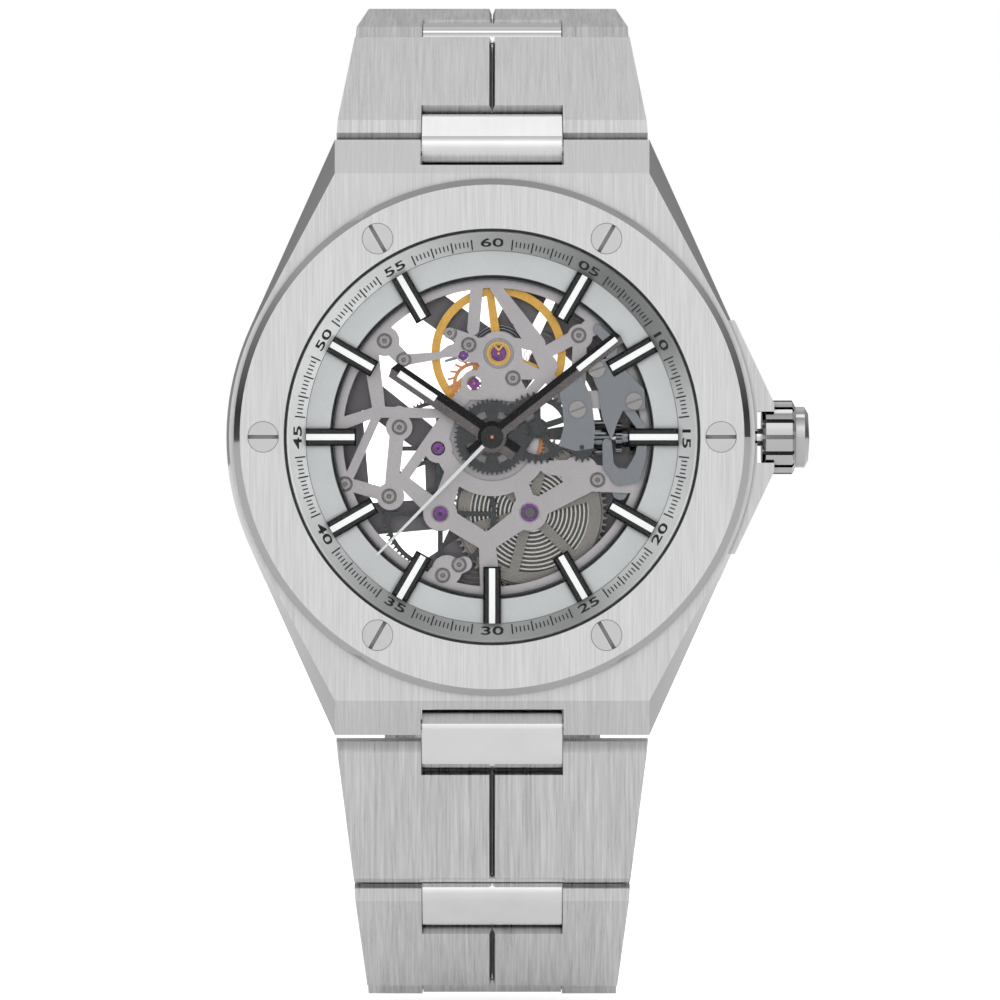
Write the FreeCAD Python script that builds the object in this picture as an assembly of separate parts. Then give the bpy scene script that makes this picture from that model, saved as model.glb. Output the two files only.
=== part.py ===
import FreeCAD, Part
import math
import os

# Skeleton wristwatch in millimetres.
# Everything is drawn dial up: x towards the crown, y towards 12 o'clock, z towards the wearer's eye,
# with the case back's outer face at z = 0.  `export` then stands the watch up: the dial faces -Y and
# 12 o'clock points along +Z, with the origin at the centre of the case back.

# ---------------------------------------------------------------- driving dimensions
CASE_RADIUS = 21.2
CASE_TOP_RADIUS = 20.9
LUG_X, LUG_Y = 12.55, 23.75          # outer corner of each lug end
LUG_TOP_Y = 20.95                    # where the flat top ends and the lug end starts to slope
CASE_BOTTOM, CASE_EDGE, CASE_TOP = 0.9, 4.6, 7.7
CASE_BORE = 13.5
DIAL_BORE = 16.35
NOTCH_HALF_WIDTH = 5.7
NOTCH_Y = 21.65

BEZEL_INNER, BEZEL_FLAT, BEZEL_OUTER = 16.5, 20.0, 20.5
BEZEL_TOP = 9.6
BEZEL_SCREW_RADIUS = 18.15           # pitch circle
BEZEL_SCREW_HEAD = 1.2
CRYSTAL_BOTTOM, CRYSTAL_TOP = 8.5, 10.0
BACK_THICKNESS = 1.2
BACK_RADIUS = 18.5
BACK_WINDOW = 13.2

DIAL_INNER, DIAL_OUTER = 12.9, 14.8
TRACK_INNER, TRACK_OUTER = 14.85, 16.3
DIAL_BOTTOM, DIAL_TOP = 6.8, 7.1
TRACK_TOP = 8.3

SCREW_HEAD = 0.42
PLATE_OUTER, PLATE_INNER = 13.4, 11.9
PLATE_BOTTOM, PLATE_TOP = 5.5, 6.3
RIM_BOTTOM = 3.75                    # underside of the plate's rim
BRIDGE_BOTTOM, BRIDGE_TOP = 2.9, 3.7

STEM_Z = 4.3
STEM_RADIUS, STEM_TIP_RADIUS = 0.7, 0.4
CROWN_X, CROWN_END, CROWN_CAP_END = 21.5, 24.2, 25.2
CROWN_RADIUS, CROWN_CAP_RADIUS = 2.95, 2.42

ROTOR_RADIUS = 12.3
ROTOR_BOTTOM = 1.6
ROTOR_START = 245                    # where its half circle begins, anticlockwise from +x

# folding clasp
CLASP_HALF_WIDTH = 9.0
BLADE_HALF_WIDTH = 6.5
CLASP_SAG = 3.0                      # how far the clasp's arch stands out from its chord
BLADE_THICKNESS = 0.7
BLADE_PIN_RADIUS = 0.28
EYE_HALF_LENGTH, EYE_RADIUS = 5.4, 0.8           # where the clasp hangs on the last links
LONG_BLADE_LEVEL, SHORT_BLADE_LEVEL = -0.05, -1.3
FAR_HINGE_INSET, NEAR_HINGE_INSET = 3.2, 3.4

# time shown, as angles clockwise from 12 in degrees
HOUR_ANGLE, MINUTE_ANGLE, SECOND_ANGLE = 304.3, 51.74, 224.3

# heights of the moving layers, case back side first
WINDING_BOTTOM, WINDING_TOP = 2.45, 2.85         # ratchet wheel, with the crown wheel a little thinner
DRUM_BOTTOM, DRUM_TOP = 3.92, 4.45
DRUM_RADIUS = 5.72
BALANCE_BOTTOM, BALANCE_TOP = 4.0, 4.38
BALANCE_RADIUS = 5.36
SECONDS_BOTTOM, SECONDS_TOP = 4.55, 4.7
GREAT_BOTTOM, GREAT_TOP = 4.86, 5.06
ESCAPE_BOTTOM, ESCAPE_TOP = 4.92, 5.04           # shared by the pallet fork
THIRD_BOTTOM, THIRD_TOP = 5.16, 5.32
LOWER_PIVOT, UPPER_PIVOT = 3.05, 6.15            # ends of the train's pivots
MOTION_BOTTOM = 6.35                             # minute wheel and setting wheel
HOUR_BOTTOM, HOUR_TOP = 6.58, 6.74

# movement centres
CENTRE = (0.0, 0.0)
BARREL = (2.98, -6.0)
GREAT = (-4.13, -6.1)
THIRD = (-4.3, -0.9)
ESCAPE = (-1.43, 4.29)
PALLET = (-2.3, 6.5)
BALANCE = (0.52, 6.67)
MINUTE = (3.62, 0.73)
CROWN_WHEEL = (7.6, -2.4)
CLICK = (7.0, -7.6)

LEFT_COVER_LEG, RIGHT_COVER_LEG = (6.8, 2.2), (11.3, 2.85)
COVER_TOP = 6.86                     # top of the setting works' cover plates

# tooth counts
BARREL_TEETH, GREAT_PINION = 72, 12
GREAT_TEETH, THIRD_PINION = 75, 10
THIRD_TEETH, SECONDS_PINION = 80, 10
SECONDS_TEETH, ESCAPE_PINION = 84, 7
ESCAPE_TEETH = 20
CANNON_TEETH, MINUTE_TEETH = 12, 36
MINUTE_PINION, HOUR_TEETH = 12, 48
SETTING_TEETH = 14
RATCHET_TEETH, CROWN_WHEEL_TEETH = 48, 33
WINDING_TEETH = 14

# bracelet
LINK_PITCH = 11.9
LINK_HALF_THICK = 1.6
HINGE_Y, HINGE_Z = 22.95, 2.7        # first hinge, inside the notch of the case
FIRST_REACH = 1.05                   # first hinge to the case's end face
LINK_WIDTHS = (12.5, 11.05, 10.1, 9.5, 9.1)      # half widths at the ends of successive links
UPPER_TILTS = (48, 79, 122, 160)     # each link's slope below the dial plane, watch closed
LOWER_TILTS = (15, 47, 92, 137)
CONNECTOR_HALF_WIDTH = 5.6
CONNECTOR_LENGTH = 4.8
PIN_RADIUS = 0.35
BAR_RADIUS, BAR_HALF_LENGTH = 0.4, 9.8           # spring bars between the case and the first links
SEPARATE_CONNECTORS = 2              # links beyond these hold their connector in the same node
SLIT = 0.1                           # clearance each side between neighbouring links

UP = FreeCAD.Vector(0, 0, 1)


# ---------------------------------------------------------------- drawing helpers
def vec(x, y, z=0.0):
    return FreeCAD.Vector(x, y, z)


def polar(radius, degrees, centre=CENTRE):
    """Point at a counter-clockwise angle from +x."""
    angle = math.radians(degrees)
    return (centre[0] + radius * math.cos(angle), centre[1] + radius * math.sin(angle))


def clock(radius, degrees):
    """Point at a clockwise angle from 12 o'clock."""
    return polar(radius, 90 - degrees)


def disc(centre, radius, z0, z1):
    return Part.makeCylinder(radius, z1 - z0, vec(centre[0], centre[1], z0), UP)


def ring(centre, outer, inner, z0, z1):
    return disc(centre, outer, z0, z1).cut(disc(centre, inner, z0 - 1, z1 + 1))


def block(x0, x1, y0, y1, z0, z1):
    return Part.makeBox(x1 - x0, y1 - y0, z1 - z0, vec(x0, y0, z0))


def slab(points, z0, z1):
    """Straight-sided plate with the given corners."""
    corners = [vec(x, y, z0) for x, y in points]
    wire = Part.makePolygon(corners + [corners[0]])
    return Part.Face(wire).extrude(vec(0, 0, z1 - z0))


def arm(start, end, width0, width1, z0, z1):
    """Tapered arm with round ends."""
    dx, dy = end[0] - start[0], end[1] - start[1]
    length = math.hypot(dx, dy)
    nx, ny = -dy / length, dx / length
    body = slab([(start[0] + nx * width0 / 2, start[1] + ny * width0 / 2),
                 (start[0] - nx * width0 / 2, start[1] - ny * width0 / 2),
                 (end[0] - nx * width1 / 2, end[1] - ny * width1 / 2),
                 (end[0] + nx * width1 / 2, end[1] + ny * width1 / 2)], z0, z1)
    return body.multiFuse([disc(start, width0 / 2, z0, z1), disc(end, width1 / 2, z0, z1)])


def sector(centre, outer, inner, start, end, z0, z1):
    """Part of a ring between two angles."""
    def at(radius, degrees):
        x, y = polar(radius, degrees, centre)
        return vec(x, y, z0)
    middle = (start + end) / 2
    edges = [Part.Arc(at(outer, start), at(outer, middle), at(outer, end)).toShape(),
             Part.makeLine(at(outer, end), at(inner, end)),
             Part.Arc(at(inner, end), at(inner, middle), at(inner, start)).toShape(),
             Part.makeLine(at(inner, start), at(outer, start))]
    return Part.Face(Part.Wire(edges)).extrude(vec(0, 0, z1 - z0))


def revolved(profile, centre=CENTRE):
    """Turned part: profile is a closed list of (radius, z)."""
    points = [vec(r, 0, z) for r, z in profile]
    face = Part.Face(Part.makePolygon(points + [points[0]]))
    solid = face.revolve(vec(0, 0, 0), UP, 360)
    solid.translate(vec(centre[0], centre[1]))
    return solid


def fuse(shapes):
    shapes = list(shapes)
    if len(shapes) == 1:
        return shapes[0]
    return shapes[0].multiFuse(shapes[1:]).removeSplitter()


def cut(shape, tools):
    tools = list(tools)
    return shape.cut(fuse(tools)) if tools else shape


def bearing(a, b):
    """Direction from a to b, counter-clockwise from +x."""
    return math.degrees(math.atan2(b[1] - a[1], b[0] - a[0]))


def module_of(a, b, teeth_a, teeth_b):
    return 2 * math.dist(a, b) / (teeth_a + teeth_b)


def toothed(centre, teeth, module, z0, z1, tooth_at=0.0):
    """Toothed disc with straight-flanked teeth, one of them centred on the angle tooth_at."""
    pitch_radius = module * teeth / 2
    root, tip = pitch_radius - 1.15 * module, pitch_radius + 0.75 * module
    step = 360 / teeth
    points = []
    for index in range(teeth):
        middle = tooth_at + index * step
        for radius, share in ((root, -0.27), (tip, -0.09), (tip, 0.09), (root, 0.27)):
            points.append(polar(radius, middle + share * step, centre))
    return slab(points, z0, z1)


def spoked(centre, wheel, root, hub, count, width, z0, z1, rim=0.35, start=90):
    """Opens a toothed wheel into a rim, a hub and straight spokes."""
    opening = ring(centre, root - rim, hub, z0 - 1, z1 + 1)
    spokes = [arm(centre, polar(root - rim / 2, start + index * 360 / count, centre), width, width,
                  z0 - 1, z1 + 1)
              for index in range(count)]
    return wheel.cut(opening.cut(fuse(spokes)))


def arbor(centre, z0, z1, radius=0.18, pivot=0.1, pivot_length=0.3):
    """Steel shaft with a thin pivot at each end."""
    parts = [disc(centre, radius, z0 + pivot_length, z1 - pivot_length), disc(centre, pivot, z0, z1)]
    return fuse(parts)


def export(name, shapes):
    """Stands the watch up and writes one node, made of one or more separate solids."""
    solids = []
    for shape in shapes:
        solids += [solid.copy() for solid in shape.Solids]
    group = solids[0] if len(solids) == 1 else Part.makeCompound(solids)
    group.rotate(vec(0, 0, 0), vec(1, 0, 0), 90)
    group.exportStep("parts/" + name + ".step")


# ---------------------------------------------------------------- case
def case_outline(radius, corner_x, corner_y, z):
    """Round case whose straight flanks run tangentially to the four lug corners."""
    reach = math.hypot(corner_x, corner_y)
    touch = math.degrees(math.atan2(corner_y, corner_x)) - math.degrees(math.acos(radius / reach))
    def rim(degrees):
        x, y = polar(radius, degrees)
        return vec(x, y, z)
    corners = [vec(corner_x, corner_y, z), vec(-corner_x, corner_y, z),
               vec(-corner_x, -corner_y, z), vec(corner_x, -corner_y, z)]
    edges = [Part.Arc(rim(-touch), rim(0), rim(touch)).toShape(),
             Part.makeLine(rim(touch), corners[0]),
             Part.makeLine(corners[0], corners[1]),
             Part.makeLine(corners[1], rim(180 - touch)),
             Part.Arc(rim(180 - touch), rim(180), rim(180 + touch)).toShape(),
             Part.makeLine(rim(180 + touch), corners[2]),
             Part.makeLine(corners[2], corners[3]),
             Part.makeLine(corners[3], rim(-touch))]
    return Part.Wire(edges)


def bezel_screw_points():
    return [clock(BEZEL_SCREW_RADIUS, 30 + 60 * index) for index in range(6)]


def crown_guards():
    """Two shoulders that rise from the flank above and below the crown."""
    guards = []
    for side in (1, -1):
        outline = [(18.5, 9.3 * side), (19.3, 9.3 * side), (22.45, 2.7 * side),
                   (22.45, 0.5 * side), (18.5, 0.5 * side)]
        guards.append(slab(outline, 1.9, 6.7))
    return guards


def case_body():
    lower = Part.makeLoft([case_outline(20.3, 11.9, 22.7, CASE_BOTTOM),
                           case_outline(CASE_RADIUS, LUG_X, LUG_Y, 2.0)], True, True)
    middle = Part.Face(case_outline(CASE_RADIUS, LUG_X, LUG_Y, 2.0)).extrude(vec(0, 0, CASE_EDGE - 2.0))
    upper = Part.makeLoft([case_outline(CASE_RADIUS, LUG_X, LUG_Y, CASE_EDGE),
                           case_outline(CASE_TOP_RADIUS, 12.5, LUG_TOP_Y, CASE_TOP)], True, True)
    body = fuse([lower, middle, upper] + crown_guards())
    tools = [disc(CENTRE, CASE_BORE, 0, 9), disc(CENTRE, DIAL_BORE, 6.75, 9),
             disc(CENTRE, BACK_RADIUS + 0.05, 0, BACK_THICKNESS)]
    for side in (1, -1):
        tools.append(block(-NOTCH_HALF_WIDTH, NOTCH_HALF_WIDTH, min(side * NOTCH_Y, side * 26),
                           max(side * NOTCH_Y, side * 26), 0, 9))
        tools.append(Part.makeCylinder(BAR_RADIUS + 0.05, 2 * BAR_HALF_LENGTH + 0.4,
                                       vec(-BAR_HALF_LENGTH - 0.2, side * HINGE_Y, HINGE_Z), vec(1, 0, 0)))
    for point in bezel_screw_points():
        tools.append(disc(point, 0.55, 6.6, 9))
    tools.append(Part.makeCylinder(CROWN_RADIUS + 0.2, 6, vec(21.1, 0, STEM_Z), vec(1, 0, 0)))
    tools.append(Part.makeCylinder(1.05, 12, vec(12, 0, STEM_Z), vec(1, 0, 0)))
    return [cut(body, tools)]


def bracelet_pins():
    """Spring bars that hold the first links in the notches of the case."""
    return [Part.makeCylinder(BAR_RADIUS, 2 * BAR_HALF_LENGTH, vec(-BAR_HALF_LENGTH, side * HINGE_Y, HINGE_Z),
                              vec(1, 0, 0))
            for side in (1, -1)]


def bezel():
    turned = revolved([(DIAL_BORE, CASE_TOP), (BEZEL_OUTER, CASE_TOP), (BEZEL_OUTER, 8.9),
                       (BEZEL_FLAT, BEZEL_TOP), (BEZEL_INNER, BEZEL_TOP), (BEZEL_INNER, 8.45),
                       (DIAL_BORE, 8.45)])
    tools = []
    for point in bezel_screw_points():
        tools.append(disc(point, BEZEL_SCREW_HEAD + 0.04, 9.0, 10))
        tools.append(disc(point, 0.55, 7, 10))
    return [cut(turned, tools)]


def bezel_screws():
    screws = []
    for index, point in enumerate(bezel_screw_points()):
        outward = 90 - (30 + 60 * index)
        screw = fuse([disc(point, BEZEL_SCREW_HEAD, 9.02, BEZEL_TOP - 0.02), disc(point, 0.5, 6.9, 9.1)])
        slot = block(-2, 2, -0.15, 0.15, 9.2, 10)
        slot.rotate(vec(0, 0, 0), UP, outward)
        slot.translate(vec(point[0], point[1]))
        screws.append(screw.cut(slot))
    return screws


def crystal():
    return [revolved([(0, CRYSTAL_BOTTOM), (16.42, CRYSTAL_BOTTOM), (16.42, 9.65), (16.0, CRYSTAL_TOP),
                      (0, CRYSTAL_TOP)])]


def caseback_ring():
    turned = ring(CENTRE, BACK_RADIUS, BACK_WINDOW, 0, BACK_THICKNESS)
    notches = []
    for index in range(6):
        notch = block(17.3, 19.5, -0.9, 0.9, -1, 0.45)
        notch.rotate(vec(0, 0, 0), UP, 60 * index)
        notches.append(notch)
    return [cut(turned, notches)]


def caseback_glass():
    return [disc(CENTRE, BACK_WINDOW - 0.02, 0, BACK_THICKNESS - 0.1)]


def o_ring(radius, thickness, centre, axis):
    return Part.makeTorus(radius, thickness, centre, axis)


def gaskets():
    """Crown gasket in the stem hole and the flat seal under the crystal."""
    return [o_ring(0.78, 0.2, vec(16.5, 0, STEM_Z), vec(1, 0, 0)),
            ring(CENTRE, 16.48, 16.36, 8.46, 8.49)]


def crown():
    """Knurled crown with eight broad lobes and a plain domed cap."""
    profile = [(CROWN_X, 0.72), (CROWN_X, 2.6), (CROWN_X + 0.3, CROWN_RADIUS),
               (CROWN_END - 0.3, CROWN_RADIUS),
               (CROWN_END, CROWN_CAP_RADIUS), (CROWN_CAP_END - 0.3, CROWN_CAP_RADIUS),
               (CROWN_CAP_END, 1.9), (CROWN_CAP_END + 0.12, 0), (CROWN_END, 0), (CROWN_END, 0.72)]
    points = [vec(x, r, 0) for x, r in profile]
    body = Part.Face(Part.makePolygon(points + [points[0]])).revolve(vec(0, 0, 0), vec(1, 0, 0), 360)
    slots = []
    for index in range(14):
        slot = block(CROWN_X - 0.1, CROWN_END - 0.15, -0.17, 0.17, 2.45, 3.4)
        slot.rotate(vec(0, 0, 0), vec(1, 0, 0), index * 360 / 14)
        slots.append(slot)
    body = cut(body, slots)
    body.translate(vec(0, 0, STEM_Z))
    return [body]


def along_x(radius, x0, x1):
    return Part.makeCylinder(radius, x1 - x0, vec(x0, 0, STEM_Z), vec(1, 0, 0))


def winding_stem():
    stem = fuse([along_x(STEM_RADIUS, 11.55, CROWN_END), along_x(STEM_TIP_RADIUS, 7.3, 11.6)])
    groove = along_x(1, 11.72, 12.12).cut(along_x(STEM_TIP_RADIUS + 0.02, 11, 13))
    gasket_groove = along_x(1, 15.4, 16.8).cut(along_x(0.5, 15, 17))
    return [cut(stem, [groove, gasket_groove])]


def star_along_x(teeth, tip, root, x0, x1):
    """Small gear on the stem."""
    points = []
    for index in range(teeth):
        for radius, share in ((root, -0.3), (tip, -0.12), (tip, 0.12), (root, 0.3)):
            angle = math.radians((index + share) * 360 / teeth)
            points.append(vec(x0, radius * math.cos(angle), STEM_Z + radius * math.sin(angle)))
    return Part.Face(Part.makePolygon(points + [points[0]])).extrude(vec(x1 - x0, 0, 0))


def sliding_clutch():
    clutch = fuse([star_along_x(WINDING_TEETH, 1.15, 0.9, 9.85, 10.35), along_x(0.75, 10.35, 11.0),
                   star_along_x(WINDING_TEETH, 1.15, 0.9, 11.0, 11.5)])
    return [clutch.cut(along_x(STEM_TIP_RADIUS + 0.02, 5, 15))]


def winding_pinion():
    return [star_along_x(WINDING_TEETH, 1.4, 1.12, 8.1, 9.4).cut(along_x(STEM_TIP_RADIUS + 0.04, 5, 15))]


# ---------------------------------------------------------------- dial and hands
def dial_ring():
    return [ring(CENTRE, DIAL_OUTER, DIAL_INNER, DIAL_BOTTOM, DIAL_TOP)]


def minute_track():
    """Sloped flange that carries the minute scale."""
    return [revolved([(TRACK_INNER, DIAL_BOTTOM), (TRACK_OUTER, DIAL_BOTTOM), (TRACK_OUTER, TRACK_TOP),
                      (TRACK_OUTER - 0.15, TRACK_TOP), (TRACK_INNER, DIAL_TOP)])]


def hour_markers():
    """Eleven batons, one for each hour except 12."""
    markers = []
    for hour in range(1, 12):
        inner, outer = (10.3, 15.0) if hour == 6 else (10.8, 14.8)
        marker = block(-0.695, 0.695, inner, outer, DIAL_TOP, DIAL_TOP + 0.5)
        top_edges = [edge for edge in marker.Edges if edge.BoundBox.ZMin > DIAL_TOP + 0.49]
        marker = marker.makeChamfer(0.16, top_edges)
        marker = marker.cut(block(-0.25, 0.25, inner + 0.12, outer + 1, DIAL_TOP + 0.38, 9))
        marker.rotate(vec(0, 0, 0), UP, -30 * hour)
        if hour == 6:
            marker = marker.cut(ring(CENTRE, 16, 14.83, 7, 9))
        markers.append(marker)
    return markers


def hand(length, tail, width, hub, bore, lume_start, lume_end, z0, z1, angle):
    """Baton hand with a ridge, a lume window and a round hub."""
    half = width / 2
    section = [vec(-half, 0, z0), vec(half, 0, z0), vec(half, 0, z1 - 0.07), vec(0, 0, z1),
               vec(-half, 0, z1 - 0.07)]
    blade = Part.Face(Part.makePolygon(section + [section[0]])).extrude(vec(0, length + tail, 0))
    blade.translate(vec(0, -tail))
    tip = slab([(-2, length - width * 0.45), (0, length), (2, length - width * 0.45), (2, length + 2),
                (-2, length + 2)], z0 - 1, z1 + 1)
    body = fuse([blade.cut(tip), disc(CENTRE, hub, z0, z1 - 0.02)])
    body = body.cut(block(-width * 0.2, width * 0.2, lume_start, lume_end, z0 + 0.05, z1 + 1))
    body = body.cut(disc(CENTRE, bore, z0 - 1, z1 + 1))
    body.rotate(vec(0, 0, 0), UP, -angle)
    return [body]


def hour_hand():
    return hand(9.7, 2.3, 1.35, 1.27, 0.8, 5.4, 9.0, 7.45, 7.65, HOUR_ANGLE)


def minute_hand():
    return hand(13.0, 2.2, 1.1, 1.15, 0.5, 8.65, 12.6, 7.75, 7.93, MINUTE_ANGLE)


def seconds_hand():
    needle = slab([(-0.16, -0.6), (0.16, -0.6), (0.09, 13.1), (-0.09, 13.1)], 8.05, 8.15)
    body = fuse([needle, disc(CENTRE, 0.9, 8.03, 8.22)]).cut(disc(CENTRE, 0.14, 7, 9))
    body.rotate(vec(0, 0, 0), UP, -SECOND_ANGLE)
    return [body]


# ---------------------------------------------------------------- plates and bridges
def main_plate():
    """Skeletonised dial-side plate: a rim, open arms and bosses for the pivots."""
    z0, z1 = PLATE_BOTTOM, PLATE_TOP
    rim = ring(CENTRE, PLATE_OUTER, PLATE_INNER, RIM_BOTTOM, z1)
    arms = [
        # bracket of two legs from 12 o'clock down to the balance plate
        ((-1.2, 12.2), (-1.5, 8.6), 1.0, 0.95),
        ((0.3, 11.9), (3.5, 7.4), 0.9, 1.5),
        # wing from the balance plate to the upper left rim
        ((-9.6, 8.2), (-8.57, 7.66), 2.0, 1.5),
        ((-8.57, 7.66), (-7.03, 6.15), 1.3, 1.1),
        ((-7.03, 6.15), (-4.2, 6.5), 0.9, 0.55),
        ((-3.4, 8.3), (-1.5, 7.6), 0.9, 1.0),
        (PALLET, (-1.0, 6.6), 1.0, 1.4),
        (PALLET, (-2.6, 7.3), 1.1, 1.0),
        # right of the balance
        ((4.2, 6.7), (7.0, 8.2), 1.0, 1.1),
        ((7.0, 8.2), (8.6, 9.2), 1.1, 1.8),
        ((7.0, 8.0), (6.8, 3.0), 1.1, 1.2),
        # left frame with its open windows
        ((-9.7, 7.0), (-9.0, 2.1), 1.3, 1.0),
        ((-9.0, 2.0), (-4.5, 1.9), 0.9, 0.75),
        ((-9.0, 2.1), (-11.6, -3.7), 0.7, 0.7),
        ((-7.4, 1.9), (-8.1, -4.7), 1.2, 1.05),
        ((-3.2, 2.2), (-8.1, -4.7), 0.9, 0.8),
        ((-9.0, 2.1), (-12.2, 1.0), 0.8, 1.0),
        ((-3.2, 2.2), ESCAPE, 1.1, 1.2),
        (THIRD, (-3.0, -2.5), 1.3, 1.2),
        (THIRD, (-3.2, 2.2), 1.2, 1.0),
        ((-8.1, -4.7), (-11.6, -3.7), 1.1, 1.0),
        ((-7.2, -3.4), GREAT, 1.0, 1.6),
        ((-4.5, 1.9), (-3.2, 2.2), 0.8, 0.9),
        # lower left: great wheel to the 6 o'clock post
        (GREAT, (-3.0, -2.6), 1.7, 1.4),
        (GREAT, (-0.4, -8.4), 1.5, 1.4),
        ((-0.4, -8.4), (-0.1, -12.4), 1.3, 1.7),
        ((-4.4, -11.0), (-2.2, -10.1), 1.5, 1.2),
        ((-4.4, -11.8), (-4.4, -11.0), 2.4, 1.5),
        # barrel arm and the lobe to its right
        ((-0.4, -8.4), BARREL, 1.4, 1.8),
        (BARREL, (2.2, -3.6), 1.5, 1.3),
        (BARREL, (7.4, -3.6), 1.5, 1.8),
        ((7.4, -3.2), (12.2, -3.6), 2.2, 1.8),
        ((7.2, -2.6), (4.4, -2.4), 1.6, 1.1),
        ((4.2, 5.2), (5.6, 3.4), 1.0, 1.0),
        ((6.8, 3.0), (5.4, 3.2), 1.2, 1.1),
        ((6.8, 3.0), (12.1, 3.0), 1.3, 1.8),
    ]
    pieces = [arm(start, end, width0, width1, z0, z1) for start, end, width0, width1 in arms]
    crescent = sector(CENTRE, 4.7, 3.5, 205, 340, z0, z1)
    balance_plate = slab([(-4.3, 6.7), (-3.5, 7.3), (-2.0, 7.75), (-0.1, 8.05), (2.0, 7.9), (3.9, 7.5),
                          (4.7, 7.0), (4.5, 5.6), (4.7, 4.8), (2.9, 2.8), (-2.0, 3.0), (-2.2, 3.9),
                          (-1.3, 5.0), (-1.0, 5.7), (-1.4, 6.2), (-3.3, 6.4), (-4.2, 6.3)], z0, z1)
    openings = [slab([(2.35, 7.1), (3.1, 6.9), (3.8, 5.4), (2.5, 6.0)], 0, 9),
                slab([(2.3, 4.6), (3.4, 4.6), (2.7, 3.8)], 0, 9),
                sector(BALANCE, 2.6, 2.0, 62, 118, 0, 9)]
    bosses = [disc(point, radius, z0, z1) for point, radius in (
        (BALANCE, 1.75), (GREAT, 1.35), (BARREL, 1.45), (THIRD, 1.15), (ESCAPE, 1.05), ((-3.2, 2.2), 0.8),
        ((-8.57, 7.66), 1.2), ((-8.1, -4.7), 1.1), ((7.0, -2.9), 1.5), ((-3.6, -10.6), 1.2),
        ((4.3, 5.7), 0.9), ((1.65, 4.6), 0.85), ((7.0, 8.0), 1.0), ((-7.4, 0.8), 1.05))]
    centre_plate = disc(CENTRE, 3.75, z0, PLATE_TOP - 0.25)
    plate = fuse([rim, crescent, centre_plate, balance_plate] + pieces + bosses)
    plate = plate.common(disc(CENTRE, PLATE_OUTER, 0, 9))
    tools = openings + [disc(CENTRE, 0.56, 0, 9), disc(MINUTE, 0.3, 0, 9)]
    tools += [disc(point, radius, 0, 9) for point, radius in (
        (BALANCE, 1.22), (GREAT, 0.72), (BARREL, 0.82), (THIRD, 0.57), (ESCAPE, 0.57), (PALLET, 0.42))]
    tools += [disc(point, 0.62, PLATE_TOP - 0.25, 9) for point in plate_screw_points()]
    tools += [disc(point, 0.32, 0, 9) for point in plate_screw_points()]
    tools += [disc(point, 0.3, 0, 9) for point in ((-7.03, 6.15), (-7.38, 0.79), (-11.7, -3.73),
                                                   (-3.97, -10.9))]
    # the rim opens for the stem and for the setting lever's travel
    tools.append(block(9.6, 14, -3.3, 1.35, 2, 5.48))
    tools.append(arm((10.2, -4.4), (11.2, -4.4), 1.5, 1.5, 4.8, 5.5))
    tools.append(arm((11.2, -4.4), (12.4, -2.2), 1.5, 1.2, 4.8, 5.5))
    # clearance for the balance, the barrel and the great wheel, which reach under the rim
    tools += [disc(BALANCE, 5.6, 0, 4.7), disc(BARREL, 6.45, 0, 4.75), disc(GREAT, 4.9, 0, 5.3)]
    tools += [disc(point, 0.36, 0, RIM_BOTTOM + 0.7) for point in bridge_screw_points()]
    tools += [disc(point, 0.32, 0, 9) for point in keyless_screw_points()]
    return [cut(plate, tools)]


def plate_screw_points():
    return ((-8.57, 7.66), (-7.03, 6.15), (-3.4, 8.3), (-1.85, 7.35), (1.66, 4.7), (6.9, 8.1), (-7.38, 0.79),
            (-8.2, -4.7), (-11.7, -3.73), (-2.63, -10.15), (-3.93, -11.0), (8.4, -3.4))


def movement_screws():
    """Plate screws with a round socket, then the slotted screws of the bridges and the setting works."""
    screws = []
    for point in plate_screw_points():
        screws.append(fuse([disc(point, SCREW_HEAD, PLATE_TOP - 0.23, PLATE_TOP + 0.05),
                            disc(point, 0.3, PLATE_TOP - 0.7, PLATE_TOP - 0.2)])
                      .cut(disc(point, 0.2, PLATE_TOP - 0.12, 9)))
    for point in bridge_screw_points():
        screw = fuse([disc(point, 0.75, BRIDGE_BOTTOM, BRIDGE_BOTTOM + 0.28),
                      disc(point, 0.35, BRIDGE_BOTTOM + 0.2, RIM_BOTTOM + 0.6)])
        slot = block(-1, 1, -0.09, 0.09, 0, BRIDGE_BOTTOM + 0.12)
        slot.rotate(vec(0, 0, 0), UP, 50)
        slot.translate(vec(point[0], point[1]))
        screws.append(screw.cut(slot))
    for point in keyless_screw_points():
        screw = fuse([disc(point, 0.66, COVER_TOP, 7.05), disc(point, 0.3, 6.0, 6.9)])
        slot = block(-1, 1, -0.07, 0.07, 6.96, 9)
        slot.rotate(vec(0, 0, 0), UP, 20)
        slot.translate(vec(point[0], point[1]))
        screws.append(screw.cut(slot))
    return screws


def bridge_screw_points():
    return [clock(12.4, degrees) for degrees in (15, 62, 128, 205, 238, 292, 333)]


def bridge(outline_arms, bosses, holes):
    z0, z1 = BRIDGE_BOTTOM, BRIDGE_TOP
    pieces = [arm(start, end, width0, width1, z0, z1) for start, end, width0, width1 in outline_arms]
    pieces += [disc(point, radius, z0, z1) for point, radius in bosses]
    shape = fuse(pieces).common(disc(CENTRE, PLATE_OUTER - 0.05, 0, 9))
    tools = [disc(point, radius, 0, 9) for point, radius in holes]
    for point in bridge_screw_points():
        tools += [disc(point, 0.8, 0, BRIDGE_BOTTOM + 0.3), disc(point, 0.38, 0, 9)]
    return [cut(shape, tools)]


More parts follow.
